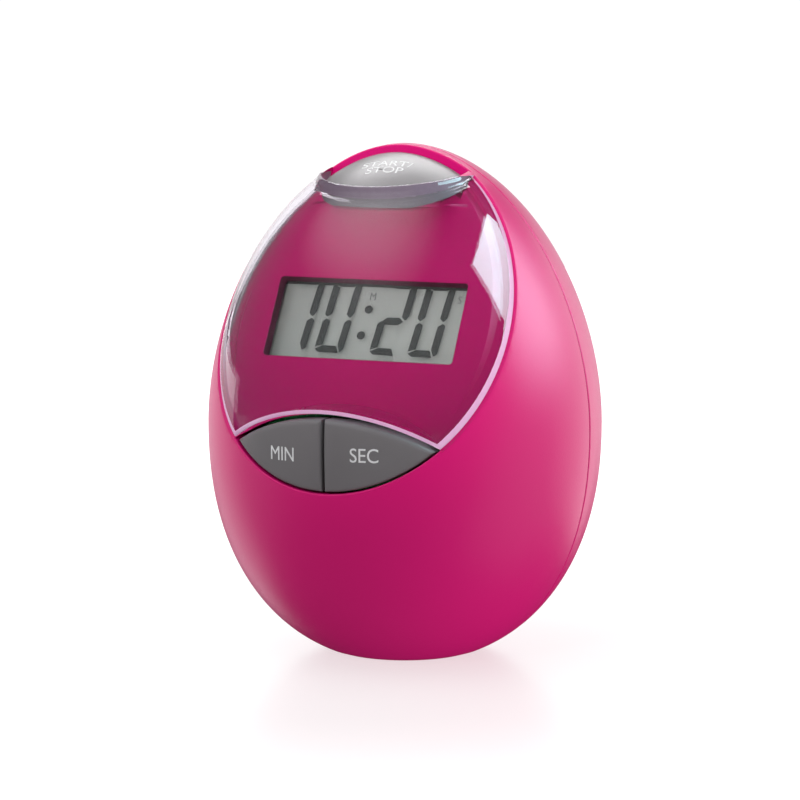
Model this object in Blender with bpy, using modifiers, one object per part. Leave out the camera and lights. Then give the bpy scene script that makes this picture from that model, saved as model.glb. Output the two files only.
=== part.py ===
# Egg-shaped digital kitchen timer, in metres, standing on the middle of its flat base.
# The front faces -Y, +Z is up, and the two shells meet at a vertical seam.
import math

import bmesh
import bpy
from mathutils import Matrix, Vector

# Egg body
EGG_RADIUS = 0.0300
EGG_HEIGHT = 0.0774
CROWN_RISE = 0.0423  # of the top above the widest section
BASE_CUT = 0.0018  # how much of the lower half the flat base takes off
TOP_POWER = 1.885
TAIL_POWER = 2.24
WALL = 0.0020
FLOOR = 0.0020
SEAM_Y = 0.0004

# Clearances
SEAT_GAP = 0.0002  # between pieces that touch
KEY_GAP = 0.0003  # round each moving key

# Flat face behind the clear dome, and the display window in it
FACE_TILT = math.radians(28.8)
FACE_DEPTH = 0.0146  # in front of the axis, at the window's centre
FACE_DROP = 0.0254  # of the window's centre below the egg's top
PANEL = 0.0018
WINDOW_WIDTH = 0.0296
WINDOW_HEIGHT = 0.0126
DOME_WALL = 0.0014

# Eye-shaped opening with the min and sec keys
EYE_HALF_WIDTH = 0.0165
EYE_CORNER_DROP = 0.0172  # of the eye's corners below the window's centre
EYE_RISE = 0.0047
EYE_DROP = 0.0067
SHELF = 0.0008  # thin ledge between the dome and the eye
FRONT_KEY_INSET = 0.0003
FRONT_KEY_WALL = 0.0030
FRONT_KEY_FLANGE = 0.0009
FRONT_KEY_X = 0.0070
FRONT_KEY_DROP = 0.0023  # of the key's centre below the eye's corners
FRONT_KEY_STEM = 0.0012
KEY_TRAVEL = 0.0008

# Start key and the well it moves in
WELL_RADIUS = 0.0113
WELL_CENTRE_Y = -0.0032
HOOD_Y = -0.0017
PLATFORM_DROP = 0.0084  # of the platform below the egg's top
PLATFORM_THICKNESS = 0.0014
PLATFORM_MARGIN = 0.0014
TONGUE = 0.0008  # thickness of the platform's thin front
START_KEY_INSET = 0.0010
START_KEY_WALL = 0.0012
START_SKIRT = 0.0012
START_SKIRT_DROP = 0.0003  # of the skirt's edge below the platform's top
START_CONTACT_Y = -0.0074
LEG_X = 0.0070
LEG_WIDTH = 0.0025
BARB = 0.0008

# Rubber domes under the keys
RUBBER_HEIGHT = 0.0020
RUBBER_FLANGE_RADIUS = 0.0029
RUBBER_FLANGE = 0.0004
RUBBER_TOP_RADIUS = 0.0015
RUBBER_CEILING = 0.0013
PILL_RADIUS = 0.0011
PILL_THICKNESS = 0.0003

# Display stack
GLASS_WIDTH = 0.0330
GLASS_TOP = 0.0075
GLASS_BOTTOM = 0.0097
CONTACT_LEDGE = 0.0027
GLASS_THICKNESS = 0.0006
FILM = 0.0002
FRAME_WALL = 0.0013
STRIP_HEIGHT = 0.0019

# Boards and the posts that carry them
BOARD_DEPTH = 0.0065  # of the main board's front behind the face
BOARD_THICKNESS = 0.0008
BOARD_WIDTH = 0.0380
POST_RADIUS = 0.0018
POST_INSET = 0.0030  # of the posts from the board's ends
POST_MARGIN = 0.0004
KEY_BOARD_WIDTH = 0.0250
KEY_POST_X = 0.0090
KEY_POST_DROP = 0.0096  # of the key board's posts below the eye's corners
START_BOARD_WIDTH = 0.0080

# Parts on the main board
BLOB_RADIUS = 0.0045
BLOB_HEIGHT = 0.0015
CRYSTAL_RADIUS = 0.0010
CRYSTAL_LENGTH = 0.0060
CHIP_SIZE = (0.0020, 0.0013, 0.0008)

# Button cell, its bay and the twist-off door
BAY_DROP = 0.0051  # of the bay's centre below the widest section
CELL_RADIUS = 0.0058
CELL_HEIGHT = 0.0054
CELL_GAP = 0.0003
BAY_WALL = 0.0013
DOOR_RADIUS = 0.0088
DOOR_THICKNESS = 0.0016
NECK_WALL = 0.0010
NECK_DEPTH = 0.0020
LUG_REACH = 0.0011
LUG_THICKNESS = 0.0009
LIP_THICKNESS = 0.0006
LUG_HALF_ANGLE = math.radians(22)
DOOR_TURN = math.radians(50)
COIN_SLOT = (0.0110, 0.0016, 0.0008)
CONTACT_THICKNESS = 0.0003
CONTACT_WIDTH = 0.0030
PIN_RADIUS = 0.0004
PIN_REACH = 0.0010

# Sounder
SOUNDER_RISE = 0.0169  # of the sounder's centre above the widest section
SOUNDER_Y = 0.0182
SOUNDER_RADIUS = 0.0075
CERAMIC_RADIUS = 0.0052
DISC_THICKNESS = 0.00025
RING_WALL = 0.0013
SOUND_HOLE_RADIUS = 0.0008
SOUND_HOLE_CIRCLE = 0.0036
SOUND_HOLES = 6

# Screws and wires
CASE_SCREW_X = 0.0175
CASE_SCREW_DROP = 0.0131  # of the two lower screws below the widest section
TOP_BOSS_SINK = 0.0008  # of the highest boss into the platform above it
CASE_SCREW_SEAT = 0.0060  # of the head's seat behind the seam
CASE_SCREW_GRIP = 0.0080
CASE_HEAD_RADIUS = 0.0020
CASE_HEAD_HEIGHT = 0.0013
CASE_SHANK_RADIUS = 0.0009
BOSS_WALL = 0.0012
BOARD_HEAD_RADIUS = 0.0015
BOARD_HEAD_HEIGHT = 0.0010
BOARD_SHANK_RADIUS = 0.0007
BOARD_SCREW_GRIP = 0.0025
WIRE_RADIUS = 0.0004
WIRE_GAP = 0.0004  # of the start key's wires from the highest boss
WIRE_BOW = 0.0030  # how far a wire runs straight before it bends
WIRE_LIFT = 0.0020
WIRE_RISE = 0.0080
WIRE_SWAY = 0.0005
CELL_WIRE_X = 0.0040
RIBBON_WIDTH = 0.0080
RIBBON_THICKNESS = 0.0004

# Mesh fineness
EGG_STEPS = 60
EGG_TOP_ROWS = 12
EGG_TAIL_ROWS = 10
CAVITY_STEPS = 34
CAVITY_TOP_ROWS = 8
CAVITY_TAIL_ROWS = 6
WIRE_STEPS = 4
ROUND_STEPS = 24
SMALL_STEPS = 12
ARC_STEPS = 20

# Sizes that follow from the ones above
REACH = 2 * EGG_HEIGHT  # longer than any cut through the egg
WIDEST_HEIGHT = EGG_HEIGHT - CROWN_RISE
TAIL_DEPTH = WIDEST_HEIGHT + BASE_CUT  # depth of the lower half before the base cuts it flat
FACE_HEIGHT = EGG_HEIGHT - FACE_DROP
EYE_CORNER_HEIGHT = FACE_HEIGHT - EYE_CORNER_DROP
PLATFORM_HEIGHT = EGG_HEIGHT - PLATFORM_DROP
BAY_HEIGHT = WIDEST_HEIGHT - BAY_DROP
SOUNDER_HEIGHT = WIDEST_HEIGHT + SOUNDER_RISE
CASE_SCREW_LOW = WIDEST_HEIGHT - CASE_SCREW_DROP
SKIRT_RADIUS = WELL_RADIUS - KEY_GAP
START_REAR_Y = HOOD_Y - KEY_GAP
SKIRT_HEIGHT = PLATFORM_HEIGHT - START_SKIRT_DROP
PLATFORM_FLOOR = PLATFORM_HEIGHT - PLATFORM_THICKNESS
PLATFORM_RADIUS = SKIRT_RADIUS - START_SKIRT - PLATFORM_MARGIN
FRONT_KEY_HEIGHT = EYE_CORNER_HEIGHT - FRONT_KEY_DROP
BOARD_BACK = BOARD_DEPTH + BOARD_THICKNESS
POST_X = BOARD_WIDTH / 2 - POST_INSET
STACK_FRONT = PANEL + SEAT_GAP
FRAME_TOP = GLASS_TOP + SEAT_GAP + FRAME_WALL
FRAME_BOTTOM = GLASS_BOTTOM + SEAT_GAP + FRAME_WALL
FRAME_WIDTH = GLASS_WIDTH + 2 * (SEAT_GAP + FRAME_WALL)
POST_TOP = FRAME_TOP + POST_MARGIN + POST_RADIUS
POST_BOTTOM = FRAME_BOTTOM + POST_MARGIN + POST_RADIUS
BOARD_TOP = POST_TOP + POST_RADIUS
BOARD_BOTTOM = POST_BOTTOM + POST_RADIUS
BOSS_RADIUS = CASE_HEAD_RADIUS + SEAT_GAP + BOSS_WALL
CASE_SCREW_HIGH = PLATFORM_FLOOR - BOSS_RADIUS + TOP_BOSS_SINK
WIRE_X = BOSS_RADIUS + WIRE_GAP + WIRE_RADIUS
BAY_RADIUS = CELL_RADIUS + CELL_GAP
CUP_RADIUS = BAY_RADIUS + CONTACT_THICKNESS + 2 * SEAT_GAP + BAY_WALL
NECK_RADIUS = BAY_RADIUS + NECK_WALL
LUG_RADIUS = NECK_RADIUS + LUG_REACH
GROOVE_RADIUS = LUG_RADIUS + KEY_GAP
DOOR_WELL_RADIUS = max(DOOR_RADIUS + KEY_GAP, GROOVE_RADIUS)
BLOCK_RADIUS = DOOR_WELL_RADIUS + BAY_WALL


def egg_radius(height, inset=0.0):
    rise = height - WIDEST_HEIGHT
    if rise > 0:
        span = EGG_HEIGHT - WIDEST_HEIGHT - inset
        power = TOP_POWER
    else:
        span = TAIL_DEPTH - inset
        power = TAIL_POWER
    share = min(1.0, abs(rise) / span)
    return (EGG_RADIUS - inset) * (1 - share ** power) ** (1 / power)


def surface_y(x, height, inset=0.0):
    # distance from the seam's plane to the egg's surface, at one place in front view
    return math.sqrt(egg_radius(height, inset) ** 2 - x ** 2)


def top_height(distance, inset):
    # height of the egg's upper surface at one distance from the axis
    share = (distance / (EGG_RADIUS - inset)) ** TOP_POWER
    return WIDEST_HEIGHT + (EGG_HEIGHT - WIDEST_HEIGHT - inset) * (1 - share) ** (1 / TOP_POWER)


def face_point(x, up, depth):
    # a place given in the tilted face: across, up the face, and behind it
    y = -FACE_DEPTH + up * math.sin(FACE_TILT) + depth * math.cos(FACE_TILT)
    z = FACE_HEIGHT + up * math.cos(FACE_TILT) - depth * math.sin(FACE_TILT)
    return Vector((x, y, z))


# Sizes that follow from the egg's own curve
KEY_TIP_Y = surface_y(FRONT_KEY_X, FRONT_KEY_HEIGHT, FRONT_KEY_INSET + FRONT_KEY_WALL) - FRONT_KEY_STEM
KEY_BOARD_Y = KEY_TIP_Y - RUBBER_HEIGHT - 2 * SEAT_GAP
KEY_BOARD_TOP = FRONT_KEY_HEIGHT + RUBBER_FLANGE_RADIUS + SEAT_GAP
KEY_POST_HEIGHT = EYE_CORNER_HEIGHT - KEY_POST_DROP
DOOR_SEAT_Y = surface_y(DOOR_RADIUS, BAY_HEIGHT) - DOOR_THICKNESS - SEAT_GAP
NECK_END_Y = DOOR_SEAT_Y - NECK_DEPTH
GROOVE_Y = NECK_END_Y - SEAT_GAP
CELL_TOP_Y = GROOVE_Y - SEAT_GAP
CELL_BOTTOM_Y = CELL_TOP_Y - CELL_HEIGHT
BAY_FLOOR_Y = CELL_BOTTOM_Y - CONTACT_THICKNESS - 2 * SEAT_GAP
BAY_END_Y = BAY_FLOOR_Y - BAY_WALL

for leftover in list(bpy.data.objects):
    bpy.data.objects.remove(leftover, do_unlink=True)

parts = bpy.data.collections.new("egg_timer")
cutters = bpy.data.collections.new("cutters")
bpy.context.scene.collection.children.link(parts)
bpy.context.scene.collection.children.link(cutters)


def finish(name, colour, roughness, metallic=0.0, alpha=1.0):
    material = bpy.data.materials.new(name)
    material.use_nodes = True
    shader = material.node_tree.nodes["Principled BSDF"]
    shader.inputs["Base Color"].default_value = (*colour, 1.0)
    shader.inputs["Roughness"].default_value = roughness
    shader.inputs["Metallic"].default_value = metallic
    shader.inputs["Alpha"].default_value = alpha
    material.diffuse_color = (*colour, alpha)
    return material


PINK = finish("pink_plastic", (0.50, 0.002, 0.12), 0.40)
CLEAR = finish("clear_plastic", (0.90, 0.88, 0.92), 0.05, alpha=0.25)
GREY = finish("grey_plastic", (0.14, 0.13, 0.14), 0.45)
GLASS = finish("display_glass", (0.36, 0.39, 0.35), 0.10, alpha=0.6)
FILM_GREY = finish("display_film", (0.35, 0.37, 0.33), 0.35)
WHITE = finish("white_plastic", (0.75, 0.75, 0.72), 0.50)
RUBBER = finish("rubber", (0.55, 0.56, 0.55), 0.70)
CARBON = finish("carbon", (0.02, 0.02, 0.02), 0.60)
BOARD_GREEN = finish("board_green", (0.02, 0.20, 0.06), 0.45)
BLACK = finish("black_resin", (0.01, 0.01, 0.01), 0.25)
STEEL = finish("steel", (0.62, 0.62, 0.64), 0.25, 1.0)
BRASS = finish("brass", (0.72, 0.52, 0.20), 0.30, 1.0)
CERAMIC = finish("ceramic", (0.80, 0.78, 0.72), 0.50)
RED_WIRE = finish("red_wire", (0.50, 0.02, 0.02), 0.45)
BLACK_WIRE = finish("black_wire", (0.02, 0.02, 0.02), 0.45)


def frame(name, location, rotation):
    holder = bpy.data.objects.new(name, None)
    holder.location = location
    holder.rotation_euler = rotation
    parts.objects.link(holder)
    return holder


FACE = frame("face_frame", (0, -FACE_DEPTH, FACE_HEIGHT), (math.pi / 2 - FACE_TILT, 0, 0))
FRONT = frame("front_frame", (0, 0, 0), (math.pi / 2, 0, 0))
REAR = frame("rear_frame", (0, 0, 0), (math.pi / 2, 0, math.pi))
TOP = frame("top_frame", (0, START_CONTACT_Y, PLATFORM_HEIGHT), (0, 0, 0))


def add(name, mesh, material=None, on=None, at=(0, 0, 0), turn=(0, 0, 0)):
    # a piece with a material is a part of the timer, and one without is a cutter
    thing = bpy.data.objects.new(name, mesh)
    thing.parent = on
    thing.location = at
    thing.rotation_euler = turn
    if material:
        mesh.materials.append(material)
        parts.objects.link(thing)
    else:
        thing.hide_render = True
        thing.display_type = "WIRE"
        cutters.objects.link(thing)
    return thing


def mesh_from(name, shape):
    mesh = bpy.data.meshes.new(name)
    shape.to_mesh(mesh)
    shape.free()
    return mesh


def box(name, low, high, **placing):
    low = Vector(low)
    high = Vector(high)
    shape = bmesh.new()
    sizing = Matrix.Translation((low + high) / 2) @ Matrix.Diagonal((*(high - low), 1))
    bmesh.ops.create_cube(shape, size=1, matrix=sizing)
    return add(name, mesh_from(name, shape), **placing)


def cylinder(name, radius, low, high, steps=SMALL_STEPS, **placing):
    shape = bmesh.new()
    bmesh.ops.create_cone(
        shape, cap_ends=True, segments=steps, radius1=radius, radius2=radius, depth=high - low,
        matrix=Matrix.Translation((0, 0, (low + high) / 2)))
    mesh = mesh_from(name, shape)
    mesh.shade_smooth()
    mesh.set_sharp_from_angle(angle=math.radians(40))
    return add(name, mesh, **placing)


def turned(name, profile, steps=ROUND_STEPS, **placing):
    # profile runs from the top of the axis, down the outer side, and back to the axis
    shape = bmesh.new()
    points = [shape.verts.new((radius, 0, height)) for radius, height in profile]
    for start, end in zip(points, points[1:]):
        shape.edges.new((start, end))
    thing = add(name, mesh_from(name, shape), **placing)
    screw = thing.modifiers.new("turn", "SCREW")
    screw.steps = steps
    screw.render_steps = steps
    screw.use_merge_vertices = True
    screw.merge_threshold = 0.00001
    screw.use_smooth_shade = True
    return thing


def flat(name, outline, low, high, **placing):
    # a flat outline given thickness, turned from a filled curve into a closed mesh
    curve = bpy.data.curves.new(name, "CURVE")
    curve.dimensions = "2D"
    curve.fill_mode = "BOTH"
    curve.extrude = (high - low) / 2
    spline = curve.splines.new("POLY")
    spline.points.add(len(outline) - 1)
    for point, (x, y) in zip(spline.points, outline):
        point.co = (x, y, 0, 1)
    spline.use_cyclic_u = True
    drawn = bpy.data.objects.new(name, curve)
    cutters.objects.link(drawn)
    mesh = bpy.data.meshes.new_from_object(drawn.evaluated_get(bpy.context.evaluated_depsgraph_get()))
    bpy.data.objects.remove(drawn, do_unlink=True)
    shape = bmesh.new()
    shape.from_mesh(mesh)
    bmesh.ops.remove_doubles(shape, verts=shape.verts, dist=0.000001)
    bmesh.ops.translate(shape, verts=shape.verts, vec=(0, 0, (low + high) / 2))
    bmesh.ops.recalc_face_normals(shape, faces=shape.faces)
    shape.to_mesh(mesh)
    shape.free()
    return add(name, mesh, **placing)


def tube(name, route, radius, material):
    # route is a smooth curve through the given places, read off at even steps
    ends = [2 * route[0] - route[1]] + route + [2 * route[-1] - route[-2]]
    points = []
    for before, start, end, after in zip(ends, ends[1:], ends[2:], ends[3:]):
        for step in range(WIRE_STEPS):
            t = step / WIRE_STEPS
            bend = (2 * before - 5 * start + 4 * end - after) * t * t
            twist = (3 * start - before - 3 * end + after) * t * t * t
            points.append((2 * start + (end - before) * t + bend + twist) / 2)
    points.append(route[-1])
    curve = bpy.data.curves.new(name, "CURVE")
    curve.dimensions = "3D"
    curve.bevel_depth = radius
    curve.bevel_resolution = 2
    curve.use_fill_caps = True
    spline = curve.splines.new("POLY")
    spline.points.add(len(points) - 1)
    for place, point in zip(spline.points, points):
        place.co = (*point, 1)
    thing = bpy.data.objects.new(name, curve)
    curve.materials.append(material)
    parts.objects.link(thing)
    return thing


def shape_with(target, operation, tool):
    change = target.modifiers.new(tool.name, "BOOLEAN")
    change.operation = operation
    change.solver = "EXACT"
    change.object = tool
    return target


def cut(target, *tools):
    for tool in tools:
        shape_with(target, "DIFFERENCE", tool)
    return target


def join(target, *tools):
    for tool in tools:
        shape_with(target, "UNION", tool)
    return target


def keep(target, *tools):
    for tool in tools:
        shape_with(target, "INTERSECT", tool)
    return target


def egg(name, inset, floor, fine=True, **placing):
    if fine:
        steps, top_rows, tail_rows = EGG_STEPS, EGG_TOP_ROWS, EGG_TAIL_ROWS
    else:
        steps, top_rows, tail_rows = CAVITY_STEPS, CAVITY_TOP_ROWS, CAVITY_TAIL_ROWS
    radius = EGG_RADIUS - inset
    top = EGG_HEIGHT - WIDEST_HEIGHT - inset
    tail = TAIL_DEPTH - inset
    last = math.asin(((WIDEST_HEIGHT - floor) / tail) ** (TAIL_POWER / 2))
    profile = [(0, WIDEST_HEIGHT + top)]
    for row in range(1, top_rows + 1):
        turn = math.pi / 2 * (1 - row / top_rows)
        height = WIDEST_HEIGHT + top * math.sin(turn) ** (2 / TOP_POWER)
        profile.append((radius * math.cos(turn) ** (2 / TOP_POWER), height))
    for row in range(1, tail_rows + 1):
        turn = last * row / tail_rows
        height = WIDEST_HEIGHT - tail * math.sin(turn) ** (2 / TAIL_POWER)
        profile.append((radius * math.cos(turn) ** (2 / TAIL_POWER), height))
    profile.append((0, floor))
    return turned(name, profile, steps, **placing)


def arc_height(x, half_width, rise):
    radius = (half_width ** 2 + rise ** 2) / (2 * rise)
    return math.sqrt(radius ** 2 - x ** 2) - radius + rise


def arc_places(half_width):
    return [half_width * (2 * step / ARC_STEPS - 1) for step in range(ARC_STEPS + 1)]


def eye_outline(margin, drop=0.0):
    # the eye in front view, shrunk by a margin and lowered
    half_width = EYE_HALF_WIDTH - 2 * margin
    level = EYE_CORNER_HEIGHT - drop
    upper = [(x, level + arc_height(x, half_width, EYE_RISE - margin)) for x in arc_places(half_width)]
    lower = [(x, level - arc_height(x, half_width, EYE_DROP - margin)) for x in arc_places(half_width)]
    return upper + lower[-2:0:-1]


def well_outline(radius, rear):
    # a round well in plan, cut straight along its rear
    start = math.asin((rear - WELL_CENTRE_Y) / radius)
    sweep = math.pi + 2 * start
    turns = [start - sweep * step / ARC_STEPS for step in range(ARC_STEPS + 1)]
    return [(radius * math.cos(turn), WELL_CENTRE_Y + radius * math.sin(turn)) for turn in turns]


def face_region(name, behind, below):
    # the space in front of the flat face and above the eye
    half_width = EYE_HALF_WIDTH + SHELF
    level = EYE_CORNER_HEIGHT - below
    rise = EYE_RISE + SHELF
    edge = [(x, level + arc_height(x, half_width, rise)) for x in arc_places(half_width)]
    outline = [(-REACH, level)] + edge + [(REACH, level), (REACH, REACH), (-REACH, REACH)]
    region = flat(name, outline, -REACH, REACH, on=FRONT)
    ahead = box(name + "_side", (-REACH, -REACH, -behind), (REACH, REACH, REACH), on=FACE)
    return keep(region, ahead)


def half_space(name, low_y, high_y):
    return box(name, (-REACH, low_y, -REACH), (REACH, high_y, REACH))


def fitting(name, radius, low, high, place, parent):
    # a post inside the case, ending within the thickness of the walls it grows from
    post = cylinder(name, radius, low, high, at=place, on=parent)
    return keep(post, WALL_CORE)


def screw(name, head_radius, head_height, shank_radius, grip, **placing):
    profile = [
        (0, head_height), (head_radius * 0.7, head_height), (head_radius, head_height * 0.6),
        (head_radius, 0), (shank_radius, 0), (shank_radius, -grip + shank_radius),
        (shank_radius * 0.4, -grip), (0, -grip)]
    return turned(name, profile, SMALL_STEPS, material=STEEL, **placing)


# Spaces and cores that several pieces share
FACE_SPACE = face_region("face_space", 0, 0)
FACE_CORE = face_region("face_core", PANEL / 2, SHELF / 2)
FACE_KEEP = face_region("face_keep", PANEL, SHELF)
WALL_CORE = cut(egg("wall_core", WALL / 2, FLOOR / 2, fine=False), FACE_CORE)
CAVITY_CORE = egg("cavity_core", WALL, FLOOR, fine=False)
WELL = flat("start_well", well_outline(WELL_RADIUS, HOOD_Y), PLATFORM_HEIGHT, REACH)
BOARD_PLACES = [(x, up) for up in (-POST_BOTTOM, POST_TOP) for x in (-POST_X, POST_X)]
KEY_POST_PLACES = [(x, KEY_POST_HEIGHT) for x in (-KEY_POST_X, KEY_POST_X)]
CASE_PLACES = [(-CASE_SCREW_X, CASE_SCREW_LOW), (CASE_SCREW_X, CASE_SCREW_LOW), (0, CASE_SCREW_HIGH)]
LEG_SIDES = (-LEG_X, LEG_X)
WIRE_SIDES = (-WIRE_X, WIRE_X)
START_WIRE_Y = START_REAR_Y - START_SKIRT - SEAT_GAP - WIRE_RADIUS


def make_front_shell():
    shell = egg("front_shell", 0, 0, material=PINK)
    keep(shell, half_space("front_half", -REACH, SEAM_Y - SEAT_GAP / 2))
    cavity = egg("front_cavity", WALL, FLOOR, fine=False)
    cut(cavity, FACE_KEEP, box("cavity_top", (-REACH, -REACH, PLATFORM_FLOOR), (REACH, REACH, REACH)))
    cut(shell, FACE_SPACE, cavity, WELL)
    tongue = well_outline(PLATFORM_RADIUS, HOOD_Y - START_SKIRT)
    join(shell, flat("platform_tongue", tongue, PLATFORM_HEIGHT - TONGUE, PLATFORM_HEIGHT))
    cut(shell, flat("eye_opening", eye_outline(0), KEY_BOARD_Y, REACH, on=FRONT))
    window = (WINDOW_WIDTH / 2, WINDOW_HEIGHT / 2, 2 * PANEL)
    cut(shell, box("window", (-window[0], -window[1], -window[2]), window, on=FACE))
    for number, (x, up) in enumerate(BOARD_PLACES, 1):
        low = SEAT_GAP - BOARD_DEPTH
        join(shell, fitting(f"board_post_{number}", POST_RADIUS, low, 0, (x, up, 0), FACE))
    for number, (x, height) in enumerate(KEY_POST_PLACES, 1):
        place = (x, height, 0)
        low = KEY_BOARD_Y + SEAT_GAP
        join(shell, fitting(f"key_post_{number}", POST_RADIUS, low, EGG_RADIUS, place, FRONT))
    for number, (x, height) in enumerate(CASE_PLACES, 1):
        place = (x, height, 0)
        low = SEAT_GAP / 2 - SEAM_Y
        join(shell, fitting(f"front_boss_{number}", BOSS_RADIUS, low, EGG_RADIUS, place, FRONT))
    for number, (x, up) in enumerate(BOARD_PLACES, 1):
        radius = BOARD_SHANK_RADIUS + SEAT_GAP
        low = -BOARD_DEPTH - SEAT_GAP
        high = BOARD_SCREW_GRIP + SEAT_GAP - BOARD_DEPTH
        cut(shell, cylinder(f"board_hole_{number}", radius, low, high, at=(x, up, 0), on=FACE))
    for number, (x, height) in enumerate(KEY_POST_PLACES, 1):
        radius = BOARD_SHANK_RADIUS + SEAT_GAP
        high = KEY_BOARD_Y + BOARD_SCREW_GRIP + SEAT_GAP
        cut(shell, cylinder(f"key_hole_{number}", radius, 0, high, at=(x, height, 0), on=FRONT))
    for number, (x, height) in enumerate(CASE_PLACES, 1):
        radius = CASE_SHANK_RADIUS + SEAT_GAP
        high = CASE_SCREW_GRIP - CASE_SCREW_SEAT + SEAT_GAP
        cut(shell, cylinder(f"case_hole_{number}", radius, -WALL, high, at=(x, height, 0), on=FRONT))
    for number, x in enumerate(LEG_SIDES, 1):
        half = LEG_WIDTH / 2 + KEY_GAP
        front = START_REAR_Y - START_SKIRT - KEY_GAP
        low = (x - half, front, PLATFORM_FLOOR - WALL)
        cut(shell, box(f"leg_slot_{number}", low, (x + half, HOOD_Y, PLATFORM_HEIGHT + WALL)))
    for number, x in enumerate(WIRE_SIDES, 1):
        low = PLATFORM_FLOOR - WALL
        high = PLATFORM_HEIGHT + WALL
        place = (x, START_WIRE_Y, 0)
        cut(shell, cylinder(f"wire_hole_{number}", WIRE_RADIUS + SEAT_GAP, low, high, at=place))


def make_rear_shell():
    shell = egg("rear_shell", 0, 0, material=PINK)
    keep(shell, half_space("rear_half", SEAM_Y + SEAT_GAP / 2, REACH))
    cut(shell, egg("rear_cavity", WALL, FLOOR, fine=False))
    for number, (x, height) in enumerate(CASE_PLACES, 1):
        place = (-x, height, 0)
        low = SEAM_Y + SEAT_GAP / 2
        join(shell, fitting(f"rear_boss_{number}", BOSS_RADIUS, low, EGG_RADIUS, place, REAR))
    bay = (0, BAY_HEIGHT, 0)
    join(shell, fitting("bay_cup", CUP_RADIUS, BAY_END_Y, EGG_RADIUS, bay, REAR))
    join(shell, fitting("bay_block", BLOCK_RADIUS, GROOVE_Y - BAY_WALL, EGG_RADIUS, bay, REAR))
    sounder = (0, SOUNDER_HEIGHT, 0)
    ring_hole = cylinder(
        "ring_hole", SOUNDER_RADIUS - RING_WALL, 0, REACH, ROUND_STEPS, at=sounder, on=REAR)
    ring = fitting("sounder_ring", SOUNDER_RADIUS + SEAT_GAP, SOUNDER_Y, EGG_RADIUS, sounder, REAR)
    join(shell, cut(ring, keep(ring_hole, CAVITY_CORE)))
    for number, (x, height) in enumerate(CASE_PLACES, 1):
        place = (-x, height, 0)
        seat = SEAM_Y + CASE_SCREW_SEAT
        well_radius = CASE_HEAD_RADIUS + SEAT_GAP
        hole_radius = CASE_SHANK_RADIUS + SEAT_GAP
        well = cylinder(f"screw_well_{number}", well_radius, seat, REACH, at=place, on=REAR)
        hole = cylinder(f"screw_hole_{number}", hole_radius, 0, seat + WALL, at=place, on=REAR)
        cut(shell, well, hole)
    door_well = cylinder(
        "door_well", DOOR_WELL_RADIUS, DOOR_SEAT_Y, REACH, 2 * ROUND_STEPS, at=bay, on=REAR)
    neck_bore = cylinder(
        "neck_bore", NECK_RADIUS + KEY_GAP, GROOVE_Y, DOOR_SEAT_Y + WALL, ROUND_STEPS, at=bay, on=REAR)
    groove = cylinder(
        "lug_groove", GROOVE_RADIUS, GROOVE_Y, DOOR_SEAT_Y - LIP_THICKNESS, ROUND_STEPS, at=bay, on=REAR)
    cell_bore = cylinder("cell_bore", BAY_RADIUS, BAY_FLOOR_Y, DOOR_SEAT_Y, ROUND_STEPS, at=bay, on=REAR)
    cut(shell, door_well, neck_bore, groove, cell_bore)
    for side in (0, 1):
        middle = math.pi * side + math.pi / 2 + DOOR_TURN
        notch = flat(
            f"lug_notch_{side + 1}", sector(GROOVE_RADIUS, middle, LUG_HALF_ANGLE + math.radians(4)),
            GROOVE_Y + SEAT_GAP, DOOR_SEAT_Y + WALL, at=bay, on=REAR)
        cut(shell, notch)
    slot_half = CONTACT_WIDTH / 2 + SEAT_GAP
    slot_low = (CELL_RADIUS - CELL_GAP, BAY_HEIGHT - slot_half, BAY_END_Y - WALL)
    slot_high = (BAY_RADIUS + CONTACT_THICKNESS + SEAT_GAP, BAY_HEIGHT + slot_half, CELL_TOP_Y)
    pin_hole = cylinder(
        "pin_hole", PIN_RADIUS + SEAT_GAP, BAY_END_Y - WALL, BAY_FLOOR_Y + WALL, at=bay, on=REAR)
    cut(shell, box("contact_slot", slot_low, slot_high, on=REAR), pin_hole)
    for number in range(SOUND_HOLES + 1):
        turn = 2 * math.pi * number / SOUND_HOLES
        circle = SOUND_HOLE_CIRCLE * min(number, 1)
        place = (circle * math.sin(turn), SOUNDER_HEIGHT + circle * math.cos(turn), 0)
        hole = cylinder(f"sound_hole_{number}", SOUND_HOLE_RADIUS, SOUNDER_Y, REACH, at=place, on=REAR)
        cut(shell, hole)


def sector(radius, middle, half_angle):
    steps = 6
    turns = [middle + half_angle * (2 * step / steps - 1) for step in range(steps + 1)]
    return [(0, 0)] + [(radius * math.cos(turn), radius * math.sin(turn)) for turn in turns]


def make_dome():
    dome = egg("dome_lens", 0, 0, material=CLEAR)
    cut(dome, egg("dome_inside", DOME_WALL, FLOOR))
    keep(dome, face_region("dome_region", -SEAT_GAP, -SEAT_GAP))
    cut(dome, flat("dome_well", well_outline(WELL_RADIUS, -WELL_CENTRE_Y), 0, REACH))


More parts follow.
